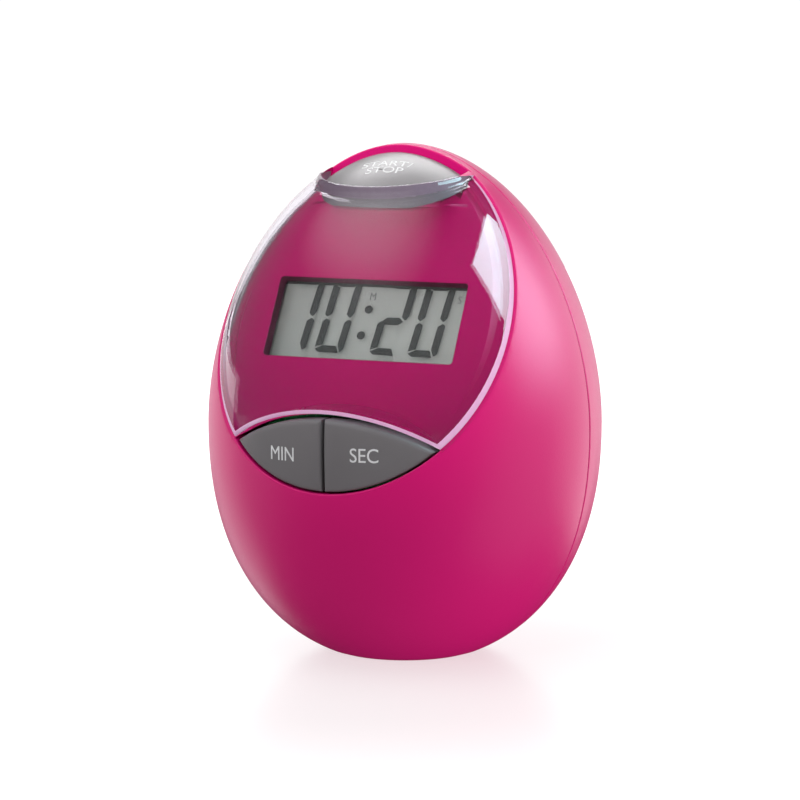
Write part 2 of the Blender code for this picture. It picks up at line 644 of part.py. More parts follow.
def make_front_keys():
    back = FRONT_KEY_INSET + FRONT_KEY_WALL
    flange_inset = WALL + KEY_GAP
    for name, side in (("min_key", -1), ("sec_key", 1)):
        x = side * FRONT_KEY_X
        key = egg(name, FRONT_KEY_INSET, FLOOR, material=GREY)
        keep(key, flat(name + "_outline", eye_outline(KEY_GAP), 0, REACH, on=FRONT))
        flange = egg(name + "_flange", flange_inset, FLOOR)
        lowered = eye_outline(KEY_GAP, FRONT_KEY_FLANGE)
        keep(flange, flat(name + "_flange_outline", lowered, 0, REACH, on=FRONT))
        join(key, flange)
        cut(key, egg(name + "_hollow", back, FLOOR, fine=False))
        edges = sorted((side * KEY_GAP / 2, side * REACH))
        keep(key, box(name + "_half", (edges[0], -REACH, -REACH), (edges[1], 0, REACH)))
        stem_end = KEY_BOARD_Y + RUBBER_HEIGHT + 2 * SEAT_GAP
        stem_root = surface_y(FRONT_KEY_X, FRONT_KEY_HEIGHT, back) + WALL / 2
        place = (x, FRONT_KEY_HEIGHT, 0)
        join(key, cylinder(name + "_stem", RUBBER_TOP_RADIUS, stem_end, stem_root, at=place, on=FRONT))


def make_start_key():
    outline = well_outline(SKIRT_RADIUS, START_REAR_Y)
    key = flat("start_key", outline, SKIRT_HEIGHT, EGG_HEIGHT, material=GREY)
    keep(key, egg("start_crown", START_KEY_INSET, FLOOR))
    hollow_outline = well_outline(SKIRT_RADIUS - START_SKIRT, START_REAR_Y - START_SKIRT)
    hollow = flat("start_hollow", hollow_outline, 0, REACH)
    cut(key, keep(hollow, egg("start_ceiling", START_KEY_INSET + START_KEY_WALL, FLOOR, fine=False)))
    relief_height = PLATFORM_HEIGHT + BOARD_THICKNESS + KEY_TRAVEL + SEAT_GAP
    relief_y = face_point(0, (SKIRT_HEIGHT - KEY_TRAVEL - FACE_HEIGHT) / math.cos(FACE_TILT), 0).y - KEY_GAP
    cut(key, box("start_relief", (-REACH, relief_y, 0), (REACH, REACH, relief_height)))
    for number, x in enumerate(LEG_SIDES, 1):
        half = LEG_WIDTH / 2
        front = START_REAR_Y - START_SKIRT
        foot = PLATFORM_FLOOR - SEAT_GAP - BARB
        leg_high = (x + half, START_REAR_Y, relief_height + START_SKIRT)
        leg = box(f"start_leg_{number}", (x - half, front, foot), leg_high)
        barb_high = (x + half, START_REAR_Y - START_SKIRT / 2, foot + BARB)
        join(key, join(leg, box(f"start_barb_{number}", (x - half, front - BARB, foot), barb_high)))
    stem_low = BOARD_THICKNESS + RUBBER_HEIGHT + 3 * SEAT_GAP
    stem_root = top_height(-START_CONTACT_Y, START_KEY_INSET + START_KEY_WALL / 2) - PLATFORM_HEIGHT
    join(key, cylinder("start_stem", RUBBER_TOP_RADIUS, stem_low, stem_root, on=TOP))


def make_contact(name, parent, place):
    # a rubber dome on a board, with its carbon pill hanging from the ceiling of its hollow
    profile = [
        (0, RUBBER_HEIGHT), (RUBBER_TOP_RADIUS, RUBBER_HEIGHT),
        (RUBBER_TOP_RADIUS, RUBBER_HEIGHT - RUBBER_FLANGE),
        (RUBBER_FLANGE_RADIUS - RUBBER_FLANGE, RUBBER_FLANGE), (RUBBER_FLANGE_RADIUS, RUBBER_FLANGE),
        (RUBBER_FLANGE_RADIUS, 0), (RUBBER_FLANGE_RADIUS - 2 * RUBBER_FLANGE, 0),
        (PILL_RADIUS + SEAT_GAP, RUBBER_CEILING), (0, RUBBER_CEILING)]
    turned(name + "_rubber", profile, SMALL_STEPS, material=RUBBER, on=parent, at=place)
    high = RUBBER_CEILING - SEAT_GAP
    cylinder(name + "_pill", PILL_RADIUS, high - PILL_THICKNESS, high, material=CARBON, on=parent, at=place)


def make_display():
    half = GLASS_WIDTH / 2
    layers = [
        ("display_front_film", FILM, -GLASS_BOTTOM + CONTACT_LEDGE, FILM_GREY),
        ("display_front_glass", GLASS_THICKNESS, -GLASS_BOTTOM, GLASS),
        ("display_rear_glass", GLASS_THICKNESS, -GLASS_BOTTOM + CONTACT_LEDGE, GLASS),
        ("display_reflector", FILM, -GLASS_BOTTOM + CONTACT_LEDGE, FILM_GREY)]
    depth = STACK_FRONT
    ledge_depth = 0.0
    for name, thickness, bottom, material in layers:
        box(name, (-half, bottom, -depth - thickness), (half, GLASS_TOP, -depth), material=material, on=FACE)
        depth += thickness + SEAT_GAP
        if bottom == -GLASS_BOTTOM:
            ledge_depth = depth
    frame_low = (-FRAME_WIDTH / 2, -FRAME_BOTTOM, SEAT_GAP - BOARD_DEPTH)
    frame_high = (FRAME_WIDTH / 2, FRAME_TOP, -STACK_FRONT)
    holder = box("display_frame", frame_low, frame_high, material=WHITE, on=FACE)
    hole_low = (-half - SEAT_GAP, -GLASS_BOTTOM - SEAT_GAP, -BOARD_BACK)
    hole_high = (half + SEAT_GAP, GLASS_TOP + SEAT_GAP, 0)
    cut(holder, box("display_frame_hole", hole_low, hole_high, on=FACE))
    strip_low = (-half, -GLASS_BOTTOM, SEAT_GAP - BOARD_DEPTH)
    strip_high = (half, STRIP_HEIGHT - GLASS_BOTTOM, -ledge_depth)
    box("contact_strip", strip_low, strip_high, material=RUBBER, on=FACE)


def make_boards():
    half = BOARD_WIDTH / 2
    hole_radius = BOARD_SHANK_RADIUS + SEAT_GAP
    main_low = (-half, -BOARD_BOTTOM, -BOARD_BACK)
    board = box("main_board", main_low, (half, BOARD_TOP, -BOARD_DEPTH), material=BOARD_GREEN, on=FACE)
    for number, (x, up) in enumerate(BOARD_PLACES, 1):
        hole = cylinder(f"main_board_hole_{number}", hole_radius, -REACH, 0, at=(x, up, 0), on=FACE)
        cut(board, hole)
        head = (x, up, -BOARD_BACK - SEAT_GAP)
        screw(
            f"board_screw_{number}", BOARD_HEAD_RADIUS, BOARD_HEAD_HEIGHT, BOARD_SHANK_RADIUS,
            BOARD_SCREW_GRIP, on=FACE, at=head, turn=(math.pi, 0, 0))
    low = (-KEY_BOARD_WIDTH / 2, KEY_POST_HEIGHT - POST_RADIUS, KEY_BOARD_Y - BOARD_THICKNESS)
    high = (KEY_BOARD_WIDTH / 2, KEY_BOARD_TOP, KEY_BOARD_Y)
    key_board = box("key_board", low, high, material=BOARD_GREEN, on=FRONT)
    for number, (x, height) in enumerate(KEY_POST_PLACES, 1):
        hole = cylinder(f"key_board_hole_{number}", hole_radius, 0, REACH, at=(x, height, 0), on=FRONT)
        cut(key_board, hole)
        head = (x, height, KEY_BOARD_Y - BOARD_THICKNESS - SEAT_GAP)
        screw(
            f"key_board_screw_{number}", BOARD_HEAD_RADIUS, BOARD_HEAD_HEIGHT, BOARD_SHANK_RADIUS,
            BOARD_SCREW_GRIP, on=FRONT, at=head, turn=(math.pi, 0, 0))
    reach = RUBBER_FLANGE_RADIUS + SEAT_GAP
    low = (-START_BOARD_WIDTH / 2, -reach, SEAT_GAP)
    high = (START_BOARD_WIDTH / 2, reach, SEAT_GAP + BOARD_THICKNESS)
    box("start_board", low, high, material=BOARD_GREEN, on=TOP)
    for name, x in (("min", -FRONT_KEY_X), ("sec", FRONT_KEY_X)):
        make_contact(name, FRONT, (x, FRONT_KEY_HEIGHT, KEY_BOARD_Y + SEAT_GAP))
    make_contact("start", TOP, (0, 0, BOARD_THICKNESS + 2 * SEAT_GAP))


def make_board_parts():
    back = -BOARD_BACK - SEAT_GAP
    steps = 5
    turns = [math.pi / 2 * step / steps for step in range(steps + 1)]
    blob = [(BLOB_RADIUS * math.sin(turn), BLOB_HEIGHT * math.cos(turn)) for turn in turns] + [(0, 0)]
    turned("chip_blob", blob, material=BLACK, on=FACE, at=(0, 0, back), turn=(math.pi, 0, 0))
    crystal_place = (BLOB_RADIUS + 3 * CRYSTAL_RADIUS, -CRYSTAL_LENGTH / 2, back - CRYSTAL_RADIUS)
    cylinder(
        "crystal", CRYSTAL_RADIUS, 0, CRYSTAL_LENGTH, material=STEEL, on=FACE, at=crystal_place,
        turn=(-math.pi / 2, 0, 0))
    chips = [("capacitor_1", -1, 1, BRASS), ("capacitor_2", -1, -1, BRASS), ("resistor", -2, 0, BLACK)]
    for name, column, row, material in chips:
        x = column * 2 * CHIP_SIZE[0] - BLOB_RADIUS
        up = row * 2 * CHIP_SIZE[1]
        low = (x - CHIP_SIZE[0] / 2, up - CHIP_SIZE[1] / 2, back - CHIP_SIZE[2])
        high = (x + CHIP_SIZE[0] / 2, up + CHIP_SIZE[1] / 2, back)
        box(name, low, high, material=material, on=FACE)


def make_battery_bay():
    bay = (0, BAY_HEIGHT, 0)
    rim = CELL_RADIUS * 0.08
    cell = [
        (0, CELL_HEIGHT), (CELL_RADIUS - rim, CELL_HEIGHT), (CELL_RADIUS, CELL_HEIGHT - rim),
        (CELL_RADIUS, rim * 2), (CELL_RADIUS - 2 * rim, 0), (0, 0)]
    turned("button_cell", cell, material=STEEL, on=REAR, at=(0, BAY_HEIGHT, CELL_BOTTOM_Y))
    place = (0, BAY_HEIGHT, DOOR_SEAT_Y)
    door = cylinder(
        "battery_door", DOOR_RADIUS, SEAT_GAP, REACH, 2 * ROUND_STEPS, material=PINK, on=REAR, at=place)
    keep(door, egg("door_skin", 0, 0))
    neck = cylinder(
        "door_neck", NECK_RADIUS, -NECK_DEPTH, DOOR_THICKNESS / 2, ROUND_STEPS, at=place, on=REAR)
    join(door, neck)
    for side in (0, 1):
        middle = math.pi * side + math.pi / 2
        lug = flat(
            f"door_lug_{side + 1}", sector(LUG_RADIUS, middle, LUG_HALF_ANGLE), -NECK_DEPTH,
            LUG_THICKNESS - NECK_DEPTH, at=place, on=REAR)
        join(door, lug)
    hollow = cylinder(
        "door_hollow", NECK_RADIUS - NECK_WALL, -2 * NECK_DEPTH, 0, ROUND_STEPS, at=place, on=REAR)
    length, width, depth = COIN_SLOT
    slot_floor = surface_y(0, BAY_HEIGHT) - DOOR_SEAT_Y - depth
    slot_low = (-length / 2, -width / 2, slot_floor)
    slot_high = (length / 2, width / 2, REACH)
    cut(door, hollow, box("coin_slot", slot_low, slot_high, at=place, on=REAR))
    leaf_low = (-CONTACT_WIDTH / 2, -CELL_RADIUS * 0.7, BAY_FLOOR_Y + SEAT_GAP)
    leaf_high = (CONTACT_WIDTH / 2, CELL_RADIUS * 0.7, BAY_FLOOR_Y + SEAT_GAP + CONTACT_THICKNESS)
    leaf = box("negative_contact", leaf_low, leaf_high, material=STEEL, on=REAR, at=bay)
    pin_top = BAY_FLOOR_Y + SEAT_GAP + CONTACT_THICKNESS / 2
    join(leaf, cylinder("negative_pin", PIN_RADIUS, BAY_END_Y - PIN_REACH, pin_top, at=bay, on=REAR))
    strip_low = (CELL_RADIUS + SEAT_GAP, -CONTACT_WIDTH / 2, BAY_END_Y - PIN_REACH)
    strip_high = (CELL_RADIUS + SEAT_GAP + CONTACT_THICKNESS, CONTACT_WIDTH / 2, CELL_TOP_Y - SEAT_GAP)
    box("positive_contact", strip_low, strip_high, material=STEEL, on=REAR, at=bay)


def make_sounder():
    place = (0, SOUNDER_HEIGHT, SOUNDER_Y - SEAT_GAP)
    cylinder(
        "sounder_disc", SOUNDER_RADIUS, -DISC_THICKNESS, 0, ROUND_STEPS, material=BRASS, on=REAR, at=place)
    high = -DISC_THICKNESS - SEAT_GAP
    cylinder(
        "sounder_ceramic", CERAMIC_RADIUS, high - DISC_THICKNESS, high, ROUND_STEPS, material=CERAMIC,
        on=REAR, at=place)


def make_case_screws():
    for number, (x, height) in enumerate(CASE_PLACES, 1):
        screw(
            f"case_screw_{number}", CASE_HEAD_RADIUS, CASE_HEAD_HEIGHT, CASE_SHANK_RADIUS, CASE_SCREW_GRIP,
            on=REAR, at=(-x, height, SEAM_Y + CASE_SCREW_SEAT + SEAT_GAP))


def make_wires():
    solder = BOARD_BACK + SEAT_GAP
    tail = BAY_END_Y - PIN_REACH - SEAT_GAP
    plus_x = -(CELL_RADIUS + SEAT_GAP + CONTACT_THICKNESS / 2)
    cell_up = -BOARD_BOTTOM / 2
    plus = [
        Vector((plus_x, tail, BAY_HEIGHT)), Vector((plus_x, tail / 2, BAY_HEIGHT + WIRE_LIFT)),
        Vector((plus_x, 0, BAY_HEIGHT + WIRE_RISE)), face_point(plus_x, cell_up, solder + WIRE_BOW),
        face_point(plus_x, cell_up, solder)]
    minus = [
        Vector((0, tail, BAY_HEIGHT)), Vector((CELL_WIRE_X / 4, tail / 2, BAY_HEIGHT + WIRE_BOW)),
        Vector((CELL_WIRE_X * 3 / 4, 0, BAY_HEIGHT + WIRE_RISE)),
        face_point(CELL_WIRE_X, cell_up, solder + WIRE_BOW), face_point(CELL_WIRE_X, cell_up, solder)]
    tube("cell_wire_plus", plus, WIRE_RADIUS, RED_WIRE)
    tube("cell_wire_minus", minus, WIRE_RADIUS, BLACK_WIRE)
    ceramic_back = SOUNDER_Y - 2 * DISC_THICKNESS - 3 * SEAT_GAP
    disc_back = SOUNDER_Y - DISC_THICKNESS - 2 * SEAT_GAP
    rim = (CERAMIC_RADIUS + SOUNDER_RADIUS) / 2
    for name, x, start_y, material in (
            ("sounder_wire_1", CERAMIC_RADIUS / 2, ceramic_back, RED_WIRE),
            ("sounder_wire_2", -rim, disc_back, BLACK_WIRE)):
        board_x = math.copysign(POST_X / 2, x)
        route = [
            Vector((x, start_y, SOUNDER_HEIGHT)), Vector((x, start_y - WIRE_BOW, SOUNDER_HEIGHT)),
            Vector((board_x, start_y / 2, SOUNDER_HEIGHT + WIRE_LIFT)),
            face_point(board_x, GLASS_TOP, solder + WIRE_BOW), face_point(board_x, GLASS_TOP, solder)]
        tube(name, route, WIRE_RADIUS, material)
    for name, x, material in (
            ("start_wire_1", WIRE_SIDES[0], RED_WIRE), ("start_wire_2", WIRE_SIDES[1], BLACK_WIRE)):
        level = PLATFORM_HEIGHT + 2 * SEAT_GAP + WIRE_RADIUS
        top = face_point(x, BOARD_TOP, (BOARD_DEPTH + BOARD_BACK) / 2)
        route = [
            Vector((x, START_WIRE_Y, level)), Vector((x, START_WIRE_Y, PLATFORM_FLOOR)),
            Vector((x, START_WIRE_Y + WIRE_SWAY, PLATFORM_FLOOR - WIRE_BOW)),
            top + Vector((0, 0, WIRE_BOW)), top + Vector((0, 0, WIRE_RADIUS + 2 * SEAT_GAP))]
        tube(name, route, WIRE_RADIUS, material)


def make_ribbon():
    # a flat cable in side view, from the back of the key board to the lower edge of the main board
    board_back = KEY_BOARD_Y - BOARD_THICKNESS - 2 * SEAT_GAP
    start = Vector((-board_back, FRONT_KEY_HEIGHT - RUBBER_FLANGE_RADIUS))
    edge = face_point(0, -BOARD_BOTTOM - 2 * SEAT_GAP, (BOARD_DEPTH + BOARD_BACK) / 2)
    end = Vector((edge.y, edge.z))
    along = Vector((math.sin(FACE_TILT), math.cos(FACE_TILT)))
    bend = (end - start).length / 2
    steps = 10
    left, right = [], []
    for step in range(steps + 1):
        t = step / steps
        first = start + Vector((bend, 0))
        second = end - along * bend
        rest = 1 - t
        point = start * rest ** 3 + first * 3 * t * rest ** 2 + second * 3 * t * t * rest + end * t ** 3
        heading = (first - start) * rest ** 2 + (second - first) * 2 * t * rest + (end - second) * t * t
        side = Vector((-heading.y, heading.x)).normalized() * RIBBON_THICKNESS / 2
        left.append(point + side)
        right.append(point - side)
    flat(
        "key_ribbon", [tuple(point) for point in left + right[::-1]], -RIBBON_WIDTH / 2, RIBBON_WIDTH / 2,
        material=WHITE, turn=(math.pi / 2, 0, math.pi / 2))


make_front_shell()
make_rear_shell()
make_dome()
make_front_keys()
make_start_key()
make_display()
make_boards()
make_board_parts()
make_battery_bay()
make_sounder()
make_case_screws()
make_wires()
make_ribbon()
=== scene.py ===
import math

import bmesh
import bpy
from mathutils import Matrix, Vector


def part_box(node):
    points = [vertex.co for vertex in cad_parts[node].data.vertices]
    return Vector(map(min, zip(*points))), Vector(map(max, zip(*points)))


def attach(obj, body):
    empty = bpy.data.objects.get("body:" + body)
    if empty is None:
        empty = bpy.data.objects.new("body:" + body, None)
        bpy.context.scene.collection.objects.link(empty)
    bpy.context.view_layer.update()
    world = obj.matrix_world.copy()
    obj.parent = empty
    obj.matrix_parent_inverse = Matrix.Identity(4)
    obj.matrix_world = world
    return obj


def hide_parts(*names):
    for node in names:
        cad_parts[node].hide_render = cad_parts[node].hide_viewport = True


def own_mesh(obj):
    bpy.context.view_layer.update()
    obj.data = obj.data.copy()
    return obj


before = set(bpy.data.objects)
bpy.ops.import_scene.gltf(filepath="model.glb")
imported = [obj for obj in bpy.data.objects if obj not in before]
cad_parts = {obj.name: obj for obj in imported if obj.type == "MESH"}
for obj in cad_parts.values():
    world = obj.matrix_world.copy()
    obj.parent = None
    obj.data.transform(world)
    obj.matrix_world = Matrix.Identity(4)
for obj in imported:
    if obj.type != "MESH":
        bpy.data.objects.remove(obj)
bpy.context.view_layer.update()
print("frame loaded:", len(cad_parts), "nodes")

mm = 0.001  # the timer's sizes are in millimetres, those of the stage in metres
scene = bpy.context.scene


# The egg's own curve, which most pieces follow

egg = dict(radius=30.0, height=77.4, widest=35.1, tail=36.9, topPower=1.885, tailPower=2.24,
           wall=2.0, floor=2.0, seam=0.4, seamGap=0.2, steps=224, topRows=70, tailRows=56,
           outside=60.0, under=-5.0, over=100.0)
seamFront, seamRear = egg["seam"] - egg["seamGap"] / 2, egg["seam"] + egg["seamGap"] / 2


def eggHalf(z, inset=0.0):
    # length and power of the curve above or below the widest place
    if z > egg["widest"]:
        return egg["height"] - egg["widest"] - inset, egg["topPower"]
    return egg["tail"] - inset, egg["tailPower"]


def eggRadius(z, inset=0.0):
    span, power = eggHalf(z, inset)
    return (egg["radius"] - inset) * (1 - min(abs(z - egg["widest"]) / span, 1) ** power) ** (1 / power)


def frontY(x, z, inset=0.0):
    return -math.sqrt(max(eggRadius(z, inset) ** 2 - x * x, 0))


def topZ(x, y, inset=0.0):
    share = min(math.hypot(x, y) / (egg["radius"] - inset), 1) ** egg["topPower"]
    return egg["widest"] + (egg["height"] - egg["widest"] - inset) * (1 - share) ** (1 / egg["topPower"])


def outward(point):
    # the egg's normal at a place on its skin
    across = math.hypot(point.x, point.y)
    rise = point.z - egg["widest"]
    span, power = eggHalf(point.z)
    pull = (across / egg["radius"]) ** (power - 1) / egg["radius"] / max(across, 0.001)
    lift = math.copysign((abs(rise) / span) ** (power - 1) / span, rise)
    return Vector((point.x * pull, point.y * pull, lift)).normalized()


def skinDepth(point):
    # how far a place lies under the egg's skin
    normal = outward(point)
    return (eggRadius(point.z) - math.hypot(point.x, point.y)) * math.hypot(normal.x, normal.y)


# Flat face behind the clear dome

face = dict(tilt=math.radians(28.8), depth=14.6, height=52.0, panel=1.8, top=73.0,
            halfWidth=16.5, level=35.3, rise=4.9, shelf=0.8, domeGap=0.2, reach=45.0,
            bendMost=1.3, bendHeight=63.0, bend=0.00233, ledge=2.1, cutLevel=34.75, cutRise=4.55,
            rimLevel=34.95, rimRise=4.85, rimTop=72.9)


def faceY(z, behind=0.0):
    return -face["depth"] + (z - face["height"]) * math.tan(face["tilt"]) + behind / math.cos(face["tilt"])


def facePoint(x, up, depth):
    y = -face["depth"] + up * math.sin(face["tilt"]) + depth * math.cos(face["tilt"])
    return Vector((x, y, face["height"] + up * math.cos(face["tilt"]) - depth * math.sin(face["tilt"])))


def arcHeight(x, halfWidth, rise):
    radius = (halfWidth ** 2 + rise ** 2) / (2 * rise)
    return math.sqrt(radius ** 2 - x ** 2) - radius + rise


def spread(low, high, count):
    return [low + (high - low) * i / (count - 1) for i in range(count)]


# Mesh tools

def newPiece(name, shape):
    bmesh.ops.recalc_face_normals(shape, faces=shape.faces)
    mesh = bpy.data.meshes.new(name)
    shape.to_mesh(mesh)
    shape.free()
    piece = bpy.data.objects.new(name, mesh)
    scene.collection.objects.link(piece)
    return piece


def skin(name, rings):
    # faces between rings of equal count; a ring of one point is a pole, and open ends are filled
    shape = bmesh.new()
    rows = [[shape.verts.new(Vector(point) * mm) for point in ring] for ring in rings]
    for low, high in zip(rows, rows[1:]):
        count = max(len(low), len(high))
        for i in range(count):
            j = (i + 1) % count
            if len(low) == 1:
                shape.faces.new((low[0], high[j], high[i]))
            elif len(high) == 1:
                shape.faces.new((low[i], low[j], high[0]))
            else:
                shape.faces.new((low[i], low[j], high[j], high[i]))
    for end in (rows[0], rows[-1]):
        if len(end) > 1:
            shape.faces.new(end)
    return newPiece(name, shape)


def turned(name, profile, steps=96, at=(0, 0, 0), along="Z"):
    # a profile of radius and height, turned round an axis
    turns = [2 * math.pi * i / steps for i in range(steps)]
    rings = []
    for radius, height in profile:
        if radius < 1e-6:
            flat = [(0, 0, height)]
        else:
            flat = [(radius * math.cos(a), radius * math.sin(a), height) for a in turns]
        rings.append([Vector(at) + onAxis(point, along) for point in flat])
    return skin(name, rings)


def rod(name, radius, start, end, steps, at, along="Y"):
    return turned(name, [(0, start), (radius, start), (radius, end), (0, end)], steps, at, along)


def onAxis(point, along):
    x, y, z = point
    if along == "Z":
        return Vector((x, y, z))
    if along == "Y":  # towards the rear
        return Vector((-x, z, y))
    if along == "-Y":  # towards the front
        return Vector((x, -z, y))
    return Vector((x, z * math.cos(face["tilt"]) + y * math.sin(face["tilt"]),
                   y * math.cos(face["tilt"]) - z * math.sin(face["tilt"])))  # into the flat face


def shapeWith(piece, operation, *tools):
    for tool in tools:
        change = piece.modifiers.new(tool.name, "BOOLEAN")
        change.operation = operation
        change.solver = "MANIFOLD"
        change.object = tool
    mesh = bpy.data.meshes.new_from_object(piece.evaluated_get(bpy.context.evaluated_depsgraph_get()))
    piece.modifiers.clear()
    piece.data = mesh
    return piece


def cut(piece, *tools):
    return shapeWith(piece, "DIFFERENCE", *tools)


def join(piece, *tools):
    return shapeWith(piece, "UNION", *tools)


def keep(piece, *tools):
    return shapeWith(piece, "INTERSECT", *tools)


def scrap(*tools):
    for tool in tools:
        bpy.data.objects.remove(tool, do_unlink=True)


def dress(piece, finish, body="case", nodes=(), sharp=34.0, weigh=True):
    # smooth shading, finish, the body it rides on and the nodes that it stands for
    piece.data.materials.clear()
    piece.data.materials.append(finish)
    piece.data.shade_smooth()
    piece.data.set_sharp_from_angle(angle=math.radians(sharp))
    if weigh:
        weighing = piece.modifiers.new("even shading", "WEIGHTED_NORMAL")
        weighing.keep_sharp = True
    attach(piece, body)
    if nodes:
        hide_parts(*nodes)
    return piece


def upright(name, outline, low, high):
    return skin(name, [[(x, y, z) for x, y in outline] for z in (low, high)])


def slab(name, front=-egg["outside"], rear=egg["outside"], low=egg["under"]):
    # all that lies between two upright planes, and above a level
    far = egg["outside"]
    return upright(name, [(-far, front), (far, front), (far, rear), (-far, rear)], low, egg["over"])


def eggBody(name, inset, floor, fine=1.0, edge=0.0):
    top, tail = egg["height"] - egg["widest"] - inset, egg["tail"] - inset
    radius = egg["radius"] - inset
    last = math.asin(((egg["widest"] - floor) / tail) ** (egg["tailPower"] / 2))
    profile = [(0, egg["widest"] + top)]
    topRows, tailRows = int(egg["topRows"] * fine), int(egg["tailRows"] * fine)
    for row in range(1, topRows + 1):
        turn = math.pi / 2 * (1 - row / topRows)
        profile.append((radius * math.cos(turn) ** (2 / egg["topPower"]),
                        egg["widest"] + top * math.sin(turn) ** (2 / egg["topPower"])))
    for row in range(1, tailRows + 1):
        turn = last * row / tailRows
        profile.append((radius * math.cos(turn) ** (2 / egg["tailPower"]),
                        egg["widest"] - tail * math.sin(turn) ** (2 / egg["tailPower"])))
    if edge:
        baseRadius = profile[-1][0]  # the base's edge is rounded over
        profile = [p for p in profile if p[1] > edge * 0.35]
        profile += [(baseRadius - edge * 0.2, edge * 0.07), (baseRadius - edge, 0)]
    profile.append((0, floor))
    return turned(name, profile, int(egg["steps"] * fine))


def rimBend(z):
    # the dome's rim curves a little to the rear of the flat face
    return face["bendMost"] - face["bend"] * (z - face["bendHeight"]) ** 2


def faceRegion(name, behind, level, rise, bent=False):
    # everything in front of the flat face, or of the dome's rim, and above the eye's upper lid
    far = face["reach"]
    edge = [(x, level + arcHeight(x, face["halfWidth"], rise))
            for x in spread(-face["halfWidth"], face["halfWidth"], 97)]
    outline = [(-far, level)] + edge + [(far, level), (far, face["top"]), (-far, face["top"])]
    region = skin(name, [[(x, y, z) for x, z in outline] for y in (-far, far)])
    rings = []
    for z in spread(face["level"] - 3, face["top"] + 3, 60):
        y = faceY(z, behind) + (rimBend(z) if bent else 0)
        rings.append([(-far - 1, -far - 1, z), (far + 1, -far - 1, z), (far + 1, y, z), (-far - 1, y, z)])
    front = skin("inFront", rings)
    keep(region, front)
    scrap(front)
    return region


arc30, arc60 = 0.134, 0.5  # 1 - cos of 30 and of 60 degrees, for rounded edges
arcSteps = [math.radians(degrees) for degrees in (0, 18, 36, 54, 72, 90)]
proud = 0.08  # a cutter's mouth stands off the skin by this


def roundOver(ring, edge, mouth):
    # a cutter's rings round an edge, by margin and inset, and then its mouth
    return [ring(0, edge), ring(arc30 * edge, arc60 * edge), ring(arc60 * edge, arc30 * edge),
            ring(mouth * edge, -proud)]


def groove(name, path, width, depth):
    # a narrow cut along a line on the egg's skin that rounds the edges at both sides of it
    lift = 0.15
    flare = width + lift * arc60 * width / (arc30 * depth)
    section = [(-flare, lift), (-arc60 * width, -arc30 * depth), (-arc30 * width, -arc60 * depth), (0, -depth),
               (arc30 * width, -arc60 * depth), (arc60 * width, -arc30 * depth), (flare, lift)]
    rings = []
    for i, point in enumerate(path):
        along = path[min(i + 1, len(path) - 1)] - path[max(i - 1, 0)]
        normal = outward(point)
        side = normal.cross(along).normalized()
        rings.append([point + side * s + normal * n for s, n in section])
    return skin(name, rings)


# Rounded outlines of the eye and of its two keys

eye = dict(halfWidth=16.5, level=34.8, rise=4.7, drop=6.7, edge=0.3, depth=19.0)


def lid(reach):
    # radius of one lid's arc
    return (eye["halfWidth"] ** 2 + reach ** 2) / (2 * reach)


def lidHeight(x, upper, margin):
    reach = eye["rise"] if upper else eye["drop"]
    drop = lid(reach) - math.sqrt((lid(reach) - margin) ** 2 - x * x)
    return eye["level"] + (reach - drop if upper else drop - reach)


def eyeCorner(upperMargin, lowerMargin):
    # where the two lids meet once each is moved in by its margin
    low, high = 0.0, eye["halfWidth"] + 3
    for _ in range(40):
        x = (low + high) / 2
        if lidHeight(x, True, upperMargin) > lidHeight(x, False, lowerMargin):
            low = x
        else:
            high = x
    return low


def eyeOutline(margin, count=61):
    corner = eyeCorner(margin, margin)
    lower = [(x, lidHeight(x, False, margin)) for x in spread(-corner, corner, count)]
    upper = [(x, lidHeight(x, True, margin)) for x in spread(corner, -corner, count)]
    return lower + upper[1:-1]


def eyeCutter():
    r = eye["edge"]
    steps = [(0.0, None), (0.0, r)]
    for degrees in (30, 55, 75):
        phi = math.radians(degrees)
        steps.append((-r * (1 - math.cos(phi)), r * (1 - math.sin(phi))))
    steps.append((-r - 0.25, -proud))
    rings = []
    for margin, inset in steps:
        rings.append([(x, -eye["depth"] if inset is None else frontY(x, z, inset), z)
                      for x, z in eyeOutline(margin)])
    rings.append([(x, -face["reach"], z) for x, y, z in rings[-1]])
    return skin("eyeCutter", rings)


# Well of the start key, and the hood behind it

well = dict(radius=11.3, centre=-3.2, hood=-1.7, platform=69.0, thickness=1.4, tongue=8.4, tongueHeight=0.8,
            rim=0.3, rimDepth=0.3, hoodReach=11.6, shoulder=3.92, shoulderInner=8.8, shoulderSink=0.5,
            shoulderLift=0.6, overlap=0.3)


def wellOutline(radius, rear, count=121):
    start = math.asin((rear - well["centre"]) / radius)
    turns = spread(start, -math.pi - start, count)
    return [(radius * math.cos(a), well["centre"] + radius * math.sin(a)) for a in turns]


def wellShoulder(side):
    # raises the well's floor at one end, to just under the pressed start key
    def ring(front, top):
        ys = spread(front, well["hood"] + well["overlap"], 9)
        outer = [(math.sqrt((well["radius"] + well["overlap"]) ** 2 - (y - well["centre"]) ** 2), y) for y in ys]
        inner = [(math.sqrt(well["shoulderInner"] ** 2 - (y - well["centre"]) ** 2), y) for y in reversed(ys)]
        return [(side * x, y, topZ(x, y) - well["shoulder"] if top else foot) for x, y in outer + inner]
    foot = well["platform"] - well["shoulderSink"]
    return skin("wellShoulder", [ring(faceY(foot), False),
                                 ring(faceY(well["platform"] + well["shoulderLift"]), True)])


# Shader tools

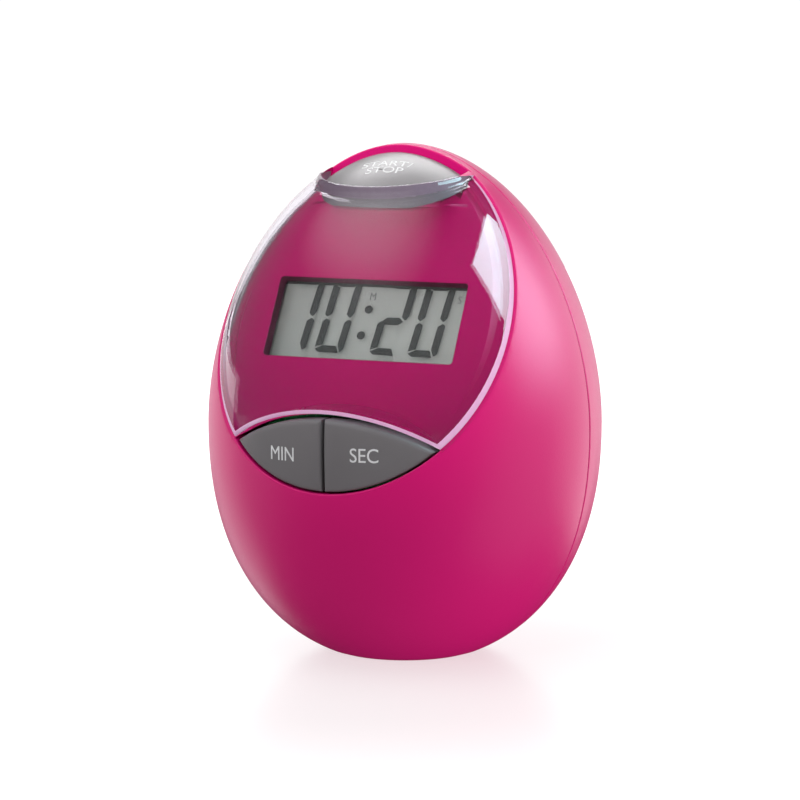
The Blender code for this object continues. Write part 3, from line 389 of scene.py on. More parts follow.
class Wire:
    # one socket of a shader; sums on it add their own Math nodes
    def __init__(self, tree, socket=None):
        self.tree = tree
        self.socket = socket

    def node(self, kind, settings=None, sockets=None, out=0):
        made = self.tree.nodes.new("ShaderNode" + kind)
        for key, value in (settings or {}).items():
            setattr(made, key, value)
        for key, value in (sockets or {}).items():
            if isinstance(value, Wire):
                self.tree.links.new(value.socket, made.inputs[key])
            else:
                made.inputs[key].default_value = value
        return Wire(self.tree, made.outputs[out])

    def maths(self, operation, first, second):
        return self.node("Math", {"operation": operation}, {0: first, 1: second})

    def __add__(self, other):
        return self.maths("ADD", self, other)

    def __sub__(self, other):
        return self.maths("SUBTRACT", self, other)

    def __rsub__(self, other):
        return self.maths("SUBTRACT", other, self)

    def __mul__(self, other):
        return self.maths("MULTIPLY", self, other)

    def __gt__(self, other):
        return self.maths("GREATER_THAN", self, other)

    __radd__ = __add__
    __rmul__ = __mul__

    def noise(self, scale, detail=2.0, rough=0.5):
        return self.node("TexNoise", {}, {"Vector": self, "Scale": scale, "Detail": detail, "Roughness": rough})

    def cells(self, scale):
        return self.node("TexVoronoi", {}, {"Vector": self, "Scale": scale}, "Distance")

    def blend(self, first, second):
        # from one colour to the other by this value
        return self.node("Mix", {"data_type": "RGBA"}, {0: self, 6: (*first, 1), 7: (*second, 1)}, 2)

    def bump(self, distance, strength=1.0):
        return self.node("Bump", {}, {"Strength": strength, "Distance": distance * mm, "Height": self})


def newFinish(name, values, look=None):
    material = bpy.data.materials.new(name)
    material.use_nodes = True
    shader = material.node_tree.nodes["Principled BSDF"]
    for key, value in values.items():
        shader.inputs[key].default_value = value
    if look:
        start = Wire(material.node_tree).node("TexCoord", out="Object")
        place = start.node("VectorMath", {"operation": "SCALE"}, {0: start, "Scale": 1 / mm})
        for key, value in look(place).items():
            material.node_tree.links.new(value.socket, shader.inputs[key])
    return material


pink = dict(light=(0.550, 0.003, 0.138), dark=(0.515, 0.002, 0.124), broad=0.05, roughness=0.38, uneven=0.12,
            grain=4.2, grainHeight=0.010, pits=3.1)
grey = dict(light=(0.142, 0.132, 0.139), dark=(0.120, 0.112, 0.118), broad=0.12, roughness=0.40, uneven=0.10,
            grain=5.0, grainHeight=0.006)


def moulded(settings):
    # a broad drift of the colour, and a grain that is pitted where the settings say so
    def look(place):
        grain = place.noise(settings["grain"], 3.0, 0.6)
        relief = grain + place.cells(settings["pits"]) * 0.5 if "pits" in settings else grain
        return {"Base Color": place.noise(settings["broad"], 2.0).blend(settings["dark"], settings["light"]),
                "Roughness": settings["roughness"] + (grain - 0.5) * settings["uneven"],
                "Normal": relief.bump(settings["grainHeight"])}
    return look


pinkPlastic = newFinish("pinkPlastic", {
    "Specular IOR Level": 0.34, "Specular Tint": (1.0, 0.75, 0.88, 1)}, moulded(pink))


# painted shade: a dark plum finish for the walls of the display window, which lie in shadow
def paintedShadeLook(place):
    grain = place.noise(pink["grain"], 3.0, 0.6)
    return {"Base Color": grain.blend((0.10, 0.006, 0.030), (0.13, 0.008, 0.040)), "Roughness": 0.5 + grain * 0.1}


windowPaintedShade = newFinish("windowPaintedShade", {"Specular IOR Level": 0.2}, paintedShadeLook)


def clearLook(place):
    return {"Normal": place.noise(0.35, 1.0).bump(0.007)}


# painted shade: the clear plastic's grey tint darkens the flat face and display seen through it, which lie in less
# light
clearPlasticShadeTint = newFinish("clearPlasticShadeTint", {
    "Base Color": (0.62, 0.585, 0.64, 1), "Roughness": 0.02, "IOR": 1.42, "Transmission Weight": 1.0}, clearLook)


def frostAndGlowLook(first, second):
    def look(place):
        mist = place.noise(1.2, 2.0)
        return {"Base Color": mist.blend(first, second), "Roughness": 0.34 + mist * 0.2}
    return look


# painted light: the rim's pale lavender stands for light carried along the clear wall to its cut edge; the rim is
# also matt
frostedRimPaintedGlow = newFinish("frostedRimPaintedGlow", {"IOR": 1.2, "Transmission Weight": 0.25},
                        frostAndGlowLook((0.67, 0.41, 0.63), (0.78, 0.50, 0.73)))
frostedLip = newFinish("frostedLip", {"IOR": 1.2, "Transmission Weight": 0.5},
                       frostAndGlowLook((0.20, 0.15, 0.20), (0.29, 0.23, 0.29)))

greyPlastic = newFinish("greyPlastic", {"IOR": 1.49}, moulded(grey))


def inkLook(place):
    speck = place.noise(9.0, 2.0)
    return {"Base Color": speck.blend((0.50, 0.50, 0.51), (0.60, 0.60, 0.61)), "Roughness": 0.5 + speck * 0.1}


whiteInk = newFinish("whiteInk", {}, inkLook)


def clearSheet(name, colour, bending, least, more, scale, detail):
    return newFinish(name, {"Base Color": colour, "IOR": bending, "Transmission Weight": 1.0}, lambda place: {
        "Roughness": least + place.noise(scale, detail) * more})


displayFilm = clearSheet("displayFilm", (0.93, 0.95, 0.92, 1), 1.25, 0.10, 0.05, 14.0, 2.0)
displayGlass = clearSheet("displayGlass", (0.97, 0.985, 0.97, 1), 1.06, 0.01, 0.01, 1.5, 1.0)

reflector = dict(light=(0.730, 0.755, 0.700), dark=(0.635, 0.660, 0.612))


def reflectorLook(place):
    fleck = place.noise(16.0, 3.0, 0.7)
    broad = place.noise(0.4, 2.0)
    mixed = fleck * 0.7 + broad * 0.3
    return {"Base Color": mixed.blend(reflector["dark"], reflector["light"]), "Roughness": 0.55 + fleck * 0.2,
            "Normal": fleck.bump(0.004)}


displayReflector = newFinish("displayReflector", {"Specular IOR Level": 0.3}, reflectorLook)


def segmentLook(first, second):
    return lambda place: {"Base Color": place.noise(6.0, 2.0).blend(first, second)}


# the segments' own dark colour, also used for a painted shadow band over the top of the display
segmentAndShadowDark = newFinish("segmentAndShadowDark", {"Roughness": 0.6, "Specular IOR Level": 0.2},
                        segmentLook((0.085, 0.097, 0.086), (0.105, 0.118, 0.105)))
segmentFaint = newFinish("segmentFaint", {"Roughness": 0.6, "Specular IOR Level": 0.2},
                         segmentLook((0.20, 0.21, 0.20), (0.24, 0.25, 0.24)))


def grainy(name, first, second, roughness, scale, height):
    # a plain moulded or cast finish with a fine grain
    def look(place):
        grain = place.noise(scale, 3.0, 0.6)
        return {"Base Color": grain.blend(first, second), "Roughness": roughness + (grain - 0.5) * 0.2,
                "Normal": grain.bump(height)}
    return newFinish(name, {}, look)


whitePlastic = grainy("whitePlastic", (0.70, 0.70, 0.67), (0.80, 0.80, 0.77), 0.5, 3.0, 0.006)
siliconeRubber = grainy("siliconeRubber", (0.46, 0.47, 0.46), (0.56, 0.57, 0.55), 0.62, 2.0, 0.008)
carbonPill = grainy("carbonPill", (0.012, 0.012, 0.013), (0.030, 0.030, 0.032), 0.6, 9.0, 0.006)
blackResin = grainy("blackResin", (0.008, 0.008, 0.009), (0.016, 0.016, 0.017), 0.3, 0.8, 0.03)
ceramic = grainy("ceramic", (0.72, 0.70, 0.62), (0.82, 0.80, 0.73), 0.55, 5.0, 0.004)
redWire = grainy("redWire", (0.42, 0.012, 0.012), (0.52, 0.02, 0.02), 0.42, 2.5, 0.006)
blackWire = grainy("blackWire", (0.012, 0.012, 0.012), (0.024, 0.024, 0.024), 0.42, 2.5, 0.006)


def brushed(name, first, second, roughness):
    # metal with its grain drawn out along one way
    def look(place):
        drawn = place.node("VectorMath", {"operation": "MULTIPLY"}, {0: place, 1: (1.0, 14.0, 14.0)})
        brush = drawn.noise(0.9, 3.0, 0.6)
        return {"Base Color": brush.blend(first, second), "Roughness": roughness + (brush - 0.5) * 0.18,
                "Normal": brush.bump(0.003)}
    return newFinish(name, {"Metallic": 1.0}, look)


nickelSteel = brushed("nickelSteel", (0.52, 0.52, 0.53), (0.64, 0.63, 0.62), 0.30)
brass = brushed("brass", (0.66, 0.46, 0.17), (0.78, 0.57, 0.25), 0.28)


def boardLook(place):
    # solder mask with darker gaps between copper runs
    runs = place.node("TexBrick", {"offset": 0.37, "squash": 1.6}, {
        "Vector": place, "Scale": 0.55, "Mortar Size": 0.06, "Color1": (0, 0, 0, 1),
        "Color2": (0.25, 0.25, 0.25, 1), "Mortar": (1, 1, 1, 1)}, "Fac")
    cloth = place.noise(7.0, 2.0)
    return {"Base Color": (runs * 0.7 + cloth * 0.3).blend((0.012, 0.115, 0.035), (0.035, 0.235, 0.075)),
            "Roughness": 0.34 + cloth * 0.15, "Normal": (runs * 0.6 + cloth * 0.2).bump(0.02)}


boardGreen = newFinish("boardGreen", {"Coat Weight": 0.3}, boardLook)
print("finishes made:", len(bpy.data.materials))


# Front shell: egg half with the flat face, display window, eye opening and the start key's well

shell = dict(seamEdge=0.26, seamDepth=0.36, rimEdge=0.20, rimDepth=0.20, windowWidth=30.2, windowHeight=12.7,
             windowCorner=0.5, windowEdge=0.25, windowDepth=4.0, near=0.05, baseEdge=0.8, baseFlare=0.25,
             baseRecess=0.4, baseRecessRadius=8.6)


def windowRing(margin, depth):
    halfWidth, halfHeight = shell["windowWidth"] / 2 + margin, shell["windowHeight"] / 2 + margin
    corner = shell["windowCorner"] + margin
    ring = []
    for quarter, (sx, sy) in enumerate(((1, 1), (-1, 1), (-1, -1), (1, -1))):
        for a in spread(quarter * math.pi / 2, (quarter + 1) * math.pi / 2, 6):
            x = sx * (halfWidth - corner) + corner * math.cos(a)
            up = sy * (halfHeight - corner) + corner * math.sin(a)
            ring.append(facePoint(x, up, depth))
    return ring


def seamPath():
    # up one side of the egg in the seam's plane, over the top and down the other
    path = []
    for z in [egg["height"] * math.sin(math.pi / 2 * t) for t in spread(-0.004, 0.998, 120)]:
        radius = eggRadius(max(z, -1.0))
        if radius > egg["seam"]:
            path.append(Vector((math.sqrt(radius ** 2 - egg["seam"] ** 2), egg["seam"], z)))
    return path + [Vector((-p.x, p.y, p.z)) for p in reversed(path)]


def rimSide(side):
    # the line where the flat face meets the egg's skin, in the middle of the gap before the dome
    path = []
    for z in spread(face["cutLevel"] - 0.2, face["rimTop"], 110):
        y = faceY(z, -face["domeGap"] / 2) + rimBend(z)
        path.append(Vector((side * math.sqrt(eggRadius(z) ** 2 - y * y), y, z)))
    return path


def rimBelow():
    path = []
    corner = face["halfWidth"] + 0.5
    for x in spread(-corner, corner, 110):
        held = min(abs(x), face["halfWidth"])
        z = face["rimLevel"] - face["domeGap"] / 2 + arcHeight(held, face["halfWidth"], face["rimRise"])
        path.append(Vector((x, frontY(x, z), z)))
    return path


def rimHood():
    return [Vector((x, well["hood"], topZ(x, well["hood"])))
            for x in spread(-well["hoodReach"], well["hoodReach"], 80)]


seamGroove = groove("seamGroove", seamPath(), shell["seamEdge"] + egg["seamGap"] / 2, shell["seamDepth"])
rimGrooves = [groove("rimGroove", path, shell["rimEdge"], shell["rimDepth"])
              for path in (rimSide(1), rimSide(-1), rimBelow())]
hoodGroove = groove("hoodGroove", rimHood(), well["rim"], well["rimDepth"])
recess, flared = shell["baseRecessRadius"], shell["baseRecessRadius"] + shell["baseFlare"]
baseRecess = turned("baseRecess", [
    (0, -1), (flared, -1), (flared, 0), (recess, 0.12), (recess, shell["baseRecess"]), (0, shell["baseRecess"])])


def makeFrontShell():
    body = eggBody("front_shell_skin", 0, 0, edge=shell["baseEdge"])
    half = slab("frontHalf", rear=seamFront)
    keep(body, half)
    cavity = eggBody("frontCavity", egg["wall"], egg["floor"], 0.4)
    faceKeep = faceRegion("faceKeep", face["panel"], face["level"] - face["shelf"], face["rise"])
    crown = slab("crownKeep", low=well["platform"] - well["thickness"])
    cut(cavity, faceKeep, crown)
    faceSpace = faceRegion("faceSpace", 0, face["level"], face["rise"])
    rimSpace = faceRegion("rimSpace", 0, face["cutLevel"], face["cutRise"], True)
    ledge = eggBody("ledge", face["ledge"], egg["floor"], 0.8)
    keep(faceSpace, ledge)
    inLedge = eggBody("inLedge", face["ledge"] + 0.3, egg["floor"], 0.8)
    cut(rimSpace, inLedge)
    wellSpace = upright("wellSpace", wellOutline(well["radius"], well["hood"]), well["platform"], egg["over"])
    cut(body, faceSpace, rimSpace, cavity, wellSpace)
    tongue = upright("tongue", wellOutline(well["tongue"], well["hood"] - 1.2),
                     well["platform"] - well["tongueHeight"], well["platform"])
    shoulders = [wellShoulder(1), wellShoulder(-1)]
    join(body, tongue, *shoulders)
    opening = eyeCutter()
    window = skin("windowCutter", [windowRing(0, shell["windowDepth"])] + roundOver(
        windowRing, shell["windowEdge"], 1.4))
    cut(body, opening, window, seamGroove, *rimGrooves, hoodGroove, baseRecess)
    scrap(half, cavity, faceKeep, crown, faceSpace, rimSpace, ledge, inLedge, wellSpace, tongue, *shoulders,
          opening, window)
    dress(body, pinkPlastic, "case", ["front_shell"])
    body.data.materials.append(windowPaintedShade)
    c, s, near = math.cos(face["tilt"]), math.sin(face["tilt"]), shell["near"]
    for polygon in body.data.polygons:  # the window's walls get a dark plum finish behind its rounded edge: painted shade where the walls lie in shadow
        middle = polygon.center / mm
        up = (middle.z - face["height"]) * c + (middle.y + face["depth"]) * s
        depth = (middle.y - faceY(middle.z)) * c
        inWindow = abs(middle.x) < shell["windowWidth"] / 2 + near and abs(up) < shell["windowHeight"] / 2 + near
        if inWindow and shell["windowEdge"] * 0.7 < depth < face["panel"] - near:
            polygon.material_index = 1


makeFrontShell()
print("front shell made")


# Clear dome over the flat face

dome = dict(wall=1.4, lipWidth=1.15, lipRise=0.10, lipFront=0.38, sideRim=1.6, lowRim=0.75, rimDepth=0.6,
            lipRear=4.0, frostAndGlowFrom=0.018, near=0.05)


def makeLip():
    # the raised lip round the start key's well
    d = dome
    rings = []
    for x, y in wellOutline(well["radius"], d["lipRear"], 150):
        away = Vector((x, y - well["centre"], 0)).normalized()
        inner = Vector((x, y, 0))
        outer = inner + away * d["lipWidth"]
        skinTop, foot = topZ(inner.x, inner.y), topZ(outer.x, outer.y)
        crest = skinTop + d["lipRise"] + d["lipFront"] * max(-away.y, 0)
        drop = crest - foot
        section = [(-0.3, skinTop - 1.0), (-0.3, crest), (0.10, crest), (0.28, crest - 0.04), (0.43, crest - 0.13),
                   (0.53, crest - 0.27), (0.64, crest - 0.45 * drop), (0.86, crest - 0.75 * drop),
                   (d["lipWidth"], foot + 0.08), (d["lipWidth"] + 0.12, foot - 0.25), (d["lipWidth"], foot - 0.9)]
        rings.append([inner + away * out + Vector((0, 0, z)) for out, z in section])
    return skin("domeLip", rings)


def makeDome():
    body = eggBody("dome_cover", 0, 0)
    inside = eggBody("domeInside", dome["wall"], egg["floor"])
    region = faceRegion("domeRegion", -face["domeGap"], face["rimLevel"], face["rimRise"], True)
    bore = upright("domeBore", wellOutline(well["radius"], -well["centre"]), 0, egg["over"])
    lip = makeLip()
    join(body, lip)
    keep(body, region)
    rims = [groove("domeRim", path, width, dome["rimDepth"]) for path, width in (
        (rimSide(1), dome["sideRim"]), (rimSide(-1), dome["sideRim"]), (rimBelow(), dome["lowRim"]))]
    cut(body, inside, bore, *rims)
    scrap(inside, region, bore, lip, *rims)
    body.visible_shadow = False  # lamps reach what is under it
    dress(body, clearPlasticShadeTint, "case", ["dome_lens"])
    body.data.materials.append(frostedRimPaintedGlow)
    body.data.materials.append(frostedLip)
    for polygon in body.data.polygons:  # the rounded rim is matt from the mould, and its pale lavender colour is painted light standing for light carried along the clear wall
        middle = polygon.center / mm
        depths = [skinDepth(body.data.vertices[i].co / mm) for i in polygon.vertices]
        if math.hypot(middle.x, middle.y - well["centre"]) < well["radius"] + dome["near"]:
            polygon.material_index = 2
        elif skinDepth(middle) > dome["frostAndGlowFrom"] and max(depths) < dome["rimDepth"] + dome["near"]:
            polygon.material_index = 1


makeDome()
print("dome made")


# Rear shell: egg half with the battery door's well, sound holes and screw wells

rear = dict(bayHeight=30.0, doorRadius=8.8, doorGap=0.3, seatDrop=1.8, blockRadius=10.4, blockDepth=23.0,
            cupRadius=7.5, cupDepth=15.6, boreRadius=6.1, boreDepth=16.9, edge=0.3,
            holeHeight=52.0, holeRadius=0.8, holeCircle=3.6, holes=6, holeFloor=18.3, holeEdge=0.2,
            screwX=17.5, screwLow=22.0, screwHigh=65.0, wellRadius=2.2, seat=6.4, bossRadius=3.4, shankHole=1.1,
            shankRear=8.0, shankFront=-1.0, neckRadius=8.5, neckDrop=2.2, outside=40.0, cupMouth=30.0,
            boreMouth=28.0, lapStart=0.005, lapEnd=1.0)
screwPlaces = [(-rear["screwX"], rear["screwLow"]), (rear["screwX"], rear["screwLow"]), (0, rear["screwHigh"])]
doorSeat = -frontY(rear["doorRadius"], rear["bayHeight"]) - rear["seatDrop"]


def rearRing(x, z, radius, inset, count=72):
    # a circle seen from the rear, laid on the egg's skin
    ring = []
    for i in range(count):
        a = 2 * math.pi * i / count
        px, pz = x + radius * math.cos(a), z + radius * math.sin(a)
        ring.append((px, -frontY(px, pz, inset), pz))
    return ring


def roundWell(name, x, z, radius, floor, edge, count=72):
    # a straight round hole from the rear, with a rounded rim on the skin
    flat = [(px, floor, pz) for px, y, pz in rearRing(x, z, radius, 0, count)]
    rim = roundOver(lambda margin, inset: rearRing(x, z, radius + margin, inset, count), edge, 1.5)
    return skin(name, [flat] + rim + [[(px, rear["outside"], pz) for px, y, pz in rim[-1]]])


def makeRearShell():
    body = eggBody("rear_shell_skin", 0, 0, edge=shell["baseEdge"])
    half = slab("rearHalf", front=seamRear)
    keep(body, half)
    cavity = eggBody("rearCavity", egg["wall"], egg["floor"], 0.4)
    cut(body, cavity)
    core = eggBody("rearCore", egg["wall"] / 2, egg["floor"] / 2, 0.4)
    lap = eggBody("lap", egg["wall"] / 2, egg["floor"] / 2, 0.6)  # closes the seam from inside
    lapBand = slab("lapBand", seamFront + rear["lapStart"], egg["seam"] + rear["lapEnd"])
    keep(lap, lapBand)
    cut(lap, cavity)
    join(body, lap)
    bay = (0, 0, rear["bayHeight"])
    posts = [rod("bayBlock", rear["blockRadius"], rear["outside"], rear["blockDepth"], 72, bay),
             rod("bayCup", rear["cupRadius"], rear["cupMouth"], rear["cupDepth"], 72, bay)]
    for x, z in screwPlaces:
        posts.append(rod("boss", rear["bossRadius"], rear["outside"], seamRear, 48, (x, 0, z)))
    for post in posts:
        keep(post, core)
        join(body, post)
    wells = [roundWell("doorWell", 0, rear["bayHeight"], rear["doorRadius"] + rear["doorGap"], doorSeat,
                       rear["edge"], 96)]
    for x, z in screwPlaces:
        wells.append(roundWell("screwWell", x, z, rear["wellRadius"], rear["seat"], rear["edge"], 48))
        wells.append(rod("shankHole", rear["shankHole"], rear["shankRear"], rear["shankFront"], 32, (x, 0, z)))
    for i in range(rear["holes"] + 1):
        a = 2 * math.pi * i / rear["holes"]
        circle = rear["holeCircle"] * min(i, 1)
        wells.append(roundWell("soundHole", circle * math.sin(a), rear["holeHeight"] + circle * math.cos(a),
                               rear["holeRadius"], rear["holeFloor"], rear["holeEdge"], 40))
    wells.append(rod("cellBore", rear["boreRadius"], rear["boreMouth"], rear["boreDepth"], 72, bay))
    wells.append(rod("neckBore", rear["neckRadius"], rear["boreMouth"], doorSeat - rear["neckDrop"], 72, bay))
    cut(body, *wells, seamGroove, baseRecess)
    scrap(half, cavity, core, lap, lapBand, *posts, *wells)
    return dress(body, pinkPlastic, "case", ["rear_shell"])


makeRearShell()
scrap(seamGroove, *rimGrooves, hoodGroove, baseRecess)
print("rear shell made")


# Battery door with its coin slot

door = dict(edge=0.45, lift=0.2, neckRadius=7.1, neckWall=1.0, neckDepth=2.0, slotLength=11.0, slotWidth=1.6,
            slotDepth=0.8, slotEdge=0.2, slotMouth=1.6)


def makeDoor():
    z = rear["bayHeight"]
    seat = doorSeat + door["lift"]
    radius, edge = rear["doorRadius"], door["edge"]
    neckFoot = doorSeat - door["neckDepth"]

    def flatRing(ringRadius, y):
        return [(px, y, pz) for px, skinY, pz in rearRing(0, z, ringRadius, 0, 96)]
    rings = [[(0, -frontY(0, z), z)]]
    rings += [rearRing(0, z, radius * share, 0, 96) for share in (0.12, 0.3, 0.5, 0.7, 0.85)]
    for degrees in (90, 65, 40, 20, 0):
        phi = math.radians(degrees)
        rings.append(rearRing(0, z, radius - edge * (1 - math.cos(phi)), edge * (1 - math.sin(phi)), 96))
    rings += [flatRing(radius, seat), flatRing(door["neckRadius"], seat), flatRing(door["neckRadius"], neckFoot),
              flatRing(door["neckRadius"] - door["neckWall"], neckFoot),
              flatRing(door["neckRadius"] - door["neckWall"], doorSeat), [(0, doorSeat, z)]]
    body = skin("battery_door_cover", rings)
    half, wide = door["slotLength"] / 2 - door["slotWidth"] / 2, door["slotWidth"] / 2
    floor = -frontY(0, z) - door["slotDepth"]

    def slotRing(margin, lift, y=None):
        ring = []
        for side in (1, -1):
            for a in spread(-math.pi / 2, math.pi / 2, 13):
                px = side * (half + (wide + margin) * math.cos(a))
                pz = z + side * (wide + margin) * math.sin(a)
                ring.append((px, -frontY(px, pz, lift) if y is None else y, pz))
        return ring
    e, mouth = door["slotEdge"], door["slotMouth"]
    slot = skin("coinSlot", [slotRing(0, 0, floor)] + roundOver(slotRing, e, mouth) + [
        slotRing(mouth * e, 0, rear["outside"])])
    cut(body, slot)
    scrap(slot)
    return dress(body, pinkPlastic, "door", ["battery_door"])


makeDoor()
print("battery door made")


# Min and sec keys

frontKey = dict(upperGap=0.55, lowerGap=0.30, innerGap=0.20, upperEdge=0.80, lowerEdge=0.40, innerEdge=0.60,
                inset=0.30, wall=3.0, centreX=6.2, centreZ=33.9, stemX=7.0, stemZ=32.5, stemRadius=1.5,
                stemEnd=24.5, stemRoot=0.8, lidSteps=44, gapSteps=22)


def keyOutline(side, upper, lower, inner):
    # from the foot of the middle gap along the lower lid to the tip, back along the upper lid and down the gap
    tip = eyeCorner(upper, lower)
    xs = spread(inner, tip, frontKey["lidSteps"])
    ring = [(x, lidHeight(x, False, lower)) for x in xs]
    ring += [(x, lidHeight(x, True, upper)) for x in reversed(xs[:-1])]
    ring += [(inner, z) for z in spread(ring[-1][1], ring[0][1], frontKey["gapSteps"])[1:-1]]
    return [(side * x, z) for x, z in ring]


def smoothed(values, reach, rounds):
    for _ in range(rounds):
        count = len(values)
        values = [sum(values[(i + k) % count] for k in range(-reach, reach + 1)) / (2 * reach + 1)
                  for i in range(count)]
    return values


def towards(ring, centre, shares, lay):
    # the outline drawn in towards a middle place, once for each share, and laid on a surface
    a, b = centre
    return [[lay(a + (u - a) * share, b + (v - b) * share) for u, v in ring] for share in shares]


def makeFrontKey(name, side, body):
    k = frontKey
    radii = smoothed([k["lowerEdge"]] * k["lidSteps"] + [k["upperEdge"]] * (k["lidSteps"] - 1)
                     + [k["innerEdge"]] * (k["gapSteps"] - 2), 3, 3)

    def outline(turn):
        drawn = 1 - math.cos(turn)
        return keyOutline(side, k["upperGap"] + k["upperEdge"] * drawn, k["lowerGap"] + k["lowerEdge"] * drawn,
                          k["innerGap"] + k["innerEdge"] * drawn)
    plain = outline(0)
    crown = outline(math.pi / 2)
    centre = (side * k["centreX"], k["centreZ"])
    shares = (0.9, 0.75, 0.58, 0.4, 0.22)
    back = k["inset"] + k["wall"]

    def onSkin(inset):
        return lambda x, z: (x, frontY(x, z, inset), z)
    rings = [[onSkin(back)(*centre)]] + towards(plain, centre, shares[::-1], onSkin(back))
    rings.append([onSkin(back)(x, z) for x, z in plain])
    for phi in arcSteps:
        rings.append([(x, frontY(x, z, k["inset"] + r * (1 - math.sin(phi))), z)
                      for (x, z), r in zip(outline(phi), radii)])
    rings += towards(crown, centre, shares, onSkin(k["inset"])) + [[onSkin(k["inset"])(*centre)]]
    key = skin(name + "_cap", rings)
    root = -frontY(k["stemX"], k["stemZ"], back) + k["stemRoot"]
    stem = rod("stem", k["stemRadius"], root, k["stemEnd"], 40, (side * k["stemX"], 0, k["stemZ"]), "-Y")
    join(key, stem)
    scrap(stem)
    return dress(key, greyPlastic, body, [name])


makeFrontKey("min_key", -1, "min_button")
makeFrontKey("sec_key", 1, "sec_button")
print("front keys made")


# Start key

startKey = dict(radius=11.0, rear=-2.0, foot=68.3, skirt=3.0, frontSkirt=0.08, frontFrom=-4.5, wall=1.2, edge=0.5,
                middleInset=1.05, endInset=1.15, centre=(0.0, -6.8), contactY=-7.4, stemFoot=72.4, stemRadius=1.5,
                stemRoot=0.6)


def startTop(x, y, lower=0.0):
    k = startKey
    inset = k["middleInset"] + (k["endInset"] - k["middleInset"]) * min(abs(x) / k["radius"], 1) ** 2
    return topZ(x, y, inset + lower)


def skirtFoot(x, y):
    # the skirt's edge keeps level at the front and rises with the egg at the sides
    deeper = startKey["frontSkirt"] * max(startKey["frontFrom"] - y, 0)
    return max(startKey["foot"], topZ(x, y) - startKey["skirt"] - deeper)


def makeStartKey():
    k = startKey

    def closed(margin):
        # the straight rear edge needs points of its own
        ring = wellOutline(k["radius"] - margin, k["rear"] - margin)
        (x0, y0), (x1, y1) = ring[-1], ring[0]
        return ring + [(x0 + (x1 - x0) * t, y0) for t in spread(0, 1, 42)[1:-1]]
    centre = k["centre"]
    shares = (0.93, 0.82, 0.68, 0.52, 0.36, 0.18)
    inner = closed(k["wall"])

    def onTop(lower):
        return lambda x, y: (x, y, startTop(x, y, lower))
    rings = [[onTop(k["wall"])(*centre)]] + towards(inner, centre, shares[::-1], onTop(k["wall"]))
    rings.append([(x, y, max(startTop(x, y, k["wall"]), skirtFoot(x, y) + 0.1)) for x, y in inner])
    rings.append([(x, y, skirtFoot(x, y)) for x, y in inner])
    rings.append([(x, y, skirtFoot(x, y)) for x, y in closed(0)])
    for phi in arcSteps:
        drop = k["edge"] * (1 - math.sin(phi))
        rings.append([(x, y, startTop(x, y) - drop) for x, y in closed(k["edge"] * (1 - math.cos(phi)))])
    crown = closed(k["edge"])
    rings += towards(crown, centre, shares, onTop(0)) + [[onTop(0)(*centre)]]
    key = skin("start_key_cap", rings)
    root = startTop(0, k["contactY"], k["stemRoot"])
    stem = rod("stem", k["stemRadius"], root, k["stemFoot"], 40, (0, k["contactY"], 0), "Z")
    join(key, stem)
    scrap(stem)
    return dress(key, greyPlastic, "start_button", ["start_key"])


makeStartKey()
print("start key made")


# Lettering on the keys: plain function words, printed

def lettering(name, words, size, narrow, lay, body, finish, thickness=0.03):
    curve = bpy.data.curves.new(name, "FONT")
    curve.body = words
    curve.size = size
    curve.align_x = "CENTER"
    curve.align_y = "CENTER"
    curve.extrude = thickness / 2
    curve.resolution_u = 6
    drawn = bpy.data.objects.new(name, curve)
    scene.collection.objects.link(drawn)
    mesh = bpy.data.meshes.new_from_object(drawn.evaluated_get(bpy.context.evaluated_depsgraph_get()))
    bpy.data.objects.remove(drawn, do_unlink=True)
    shape = bmesh.new()
    shape.from_mesh(mesh)
    bmesh.ops.remove_doubles(shape, verts=shape.verts, dist=0.0005)
    for vert in shape.verts:
        vert.co = lay(vert.co.x * narrow, vert.co.y, vert.co.z) * mm
    return dress(newPiece(name, shape), finish, body, weigh=False)


label = dict(size=2.95, minAt=(-6.75, 33.45), secAt=(6.4, 33.9), minWidth=0.84, secWidth=0.88,
             topSize=2.10, startAt=(0.25, -7.2), stopAt=(0.55, -8.95), topWidth=1.16, turn=math.radians(7))


def onKey(x0, z0):
    return lambda u, v, w: Vector((x0 + u, frontY(x0 + u, z0 + v, frontKey["inset"]) - w, z0 + v))


def onCrown(x0, y0):
    c, s = math.cos(label["turn"]), math.sin(label["turn"])

    def lay(u, v, w):
        x, y = x0 + u * c - v * s, y0 + u * s + v * c
        return Vector((x, y, startTop(x, y) + w))
    return lay


lettering("min_label", "MIN", label["size"], label["minWidth"], onKey(*label["minAt"]), "min_button", whiteInk)
lettering("sec_label", "SEC", label["size"], label["secWidth"], onKey(*label["secAt"]), "sec_button", whiteInk)
for name, words, at in (("start_label", "START/", label["startAt"]), ("stop_label", "STOP", label["stopAt"])):
    lettering(name, words, label["topSize"], label["topWidth"], onCrown(*at), "start_button", whiteInk)
print("lettering made")


# Digits of the display, as thin plates between the glasses, and a dark band over their tops that is a painted
# shadow

digits = dict(height=11.75, slant=math.tan(math.radians(5.0)), foot=-4.3, depth=3.05, thickness=0.08,
              lefts=(-14.9, -8.73, 0.24, 6.38), shown="1020", dotRadius=0.64, dots=((-1.25, 2.87), (-1.6, -1.32)),
              shadowBand=(16.3, 6.45, 7.45), shadowBandLift=0.03, shadowBandThickness=0.02,
              marks=(("minutes_mark", "M", -0.95), ("seconds_mark", "S", 13.0)), markHeight=4.9, markSize=1.7,
              markWidth=0.85)
lit = {"0": "abcdef", "1": "bc", "2": "abged"}


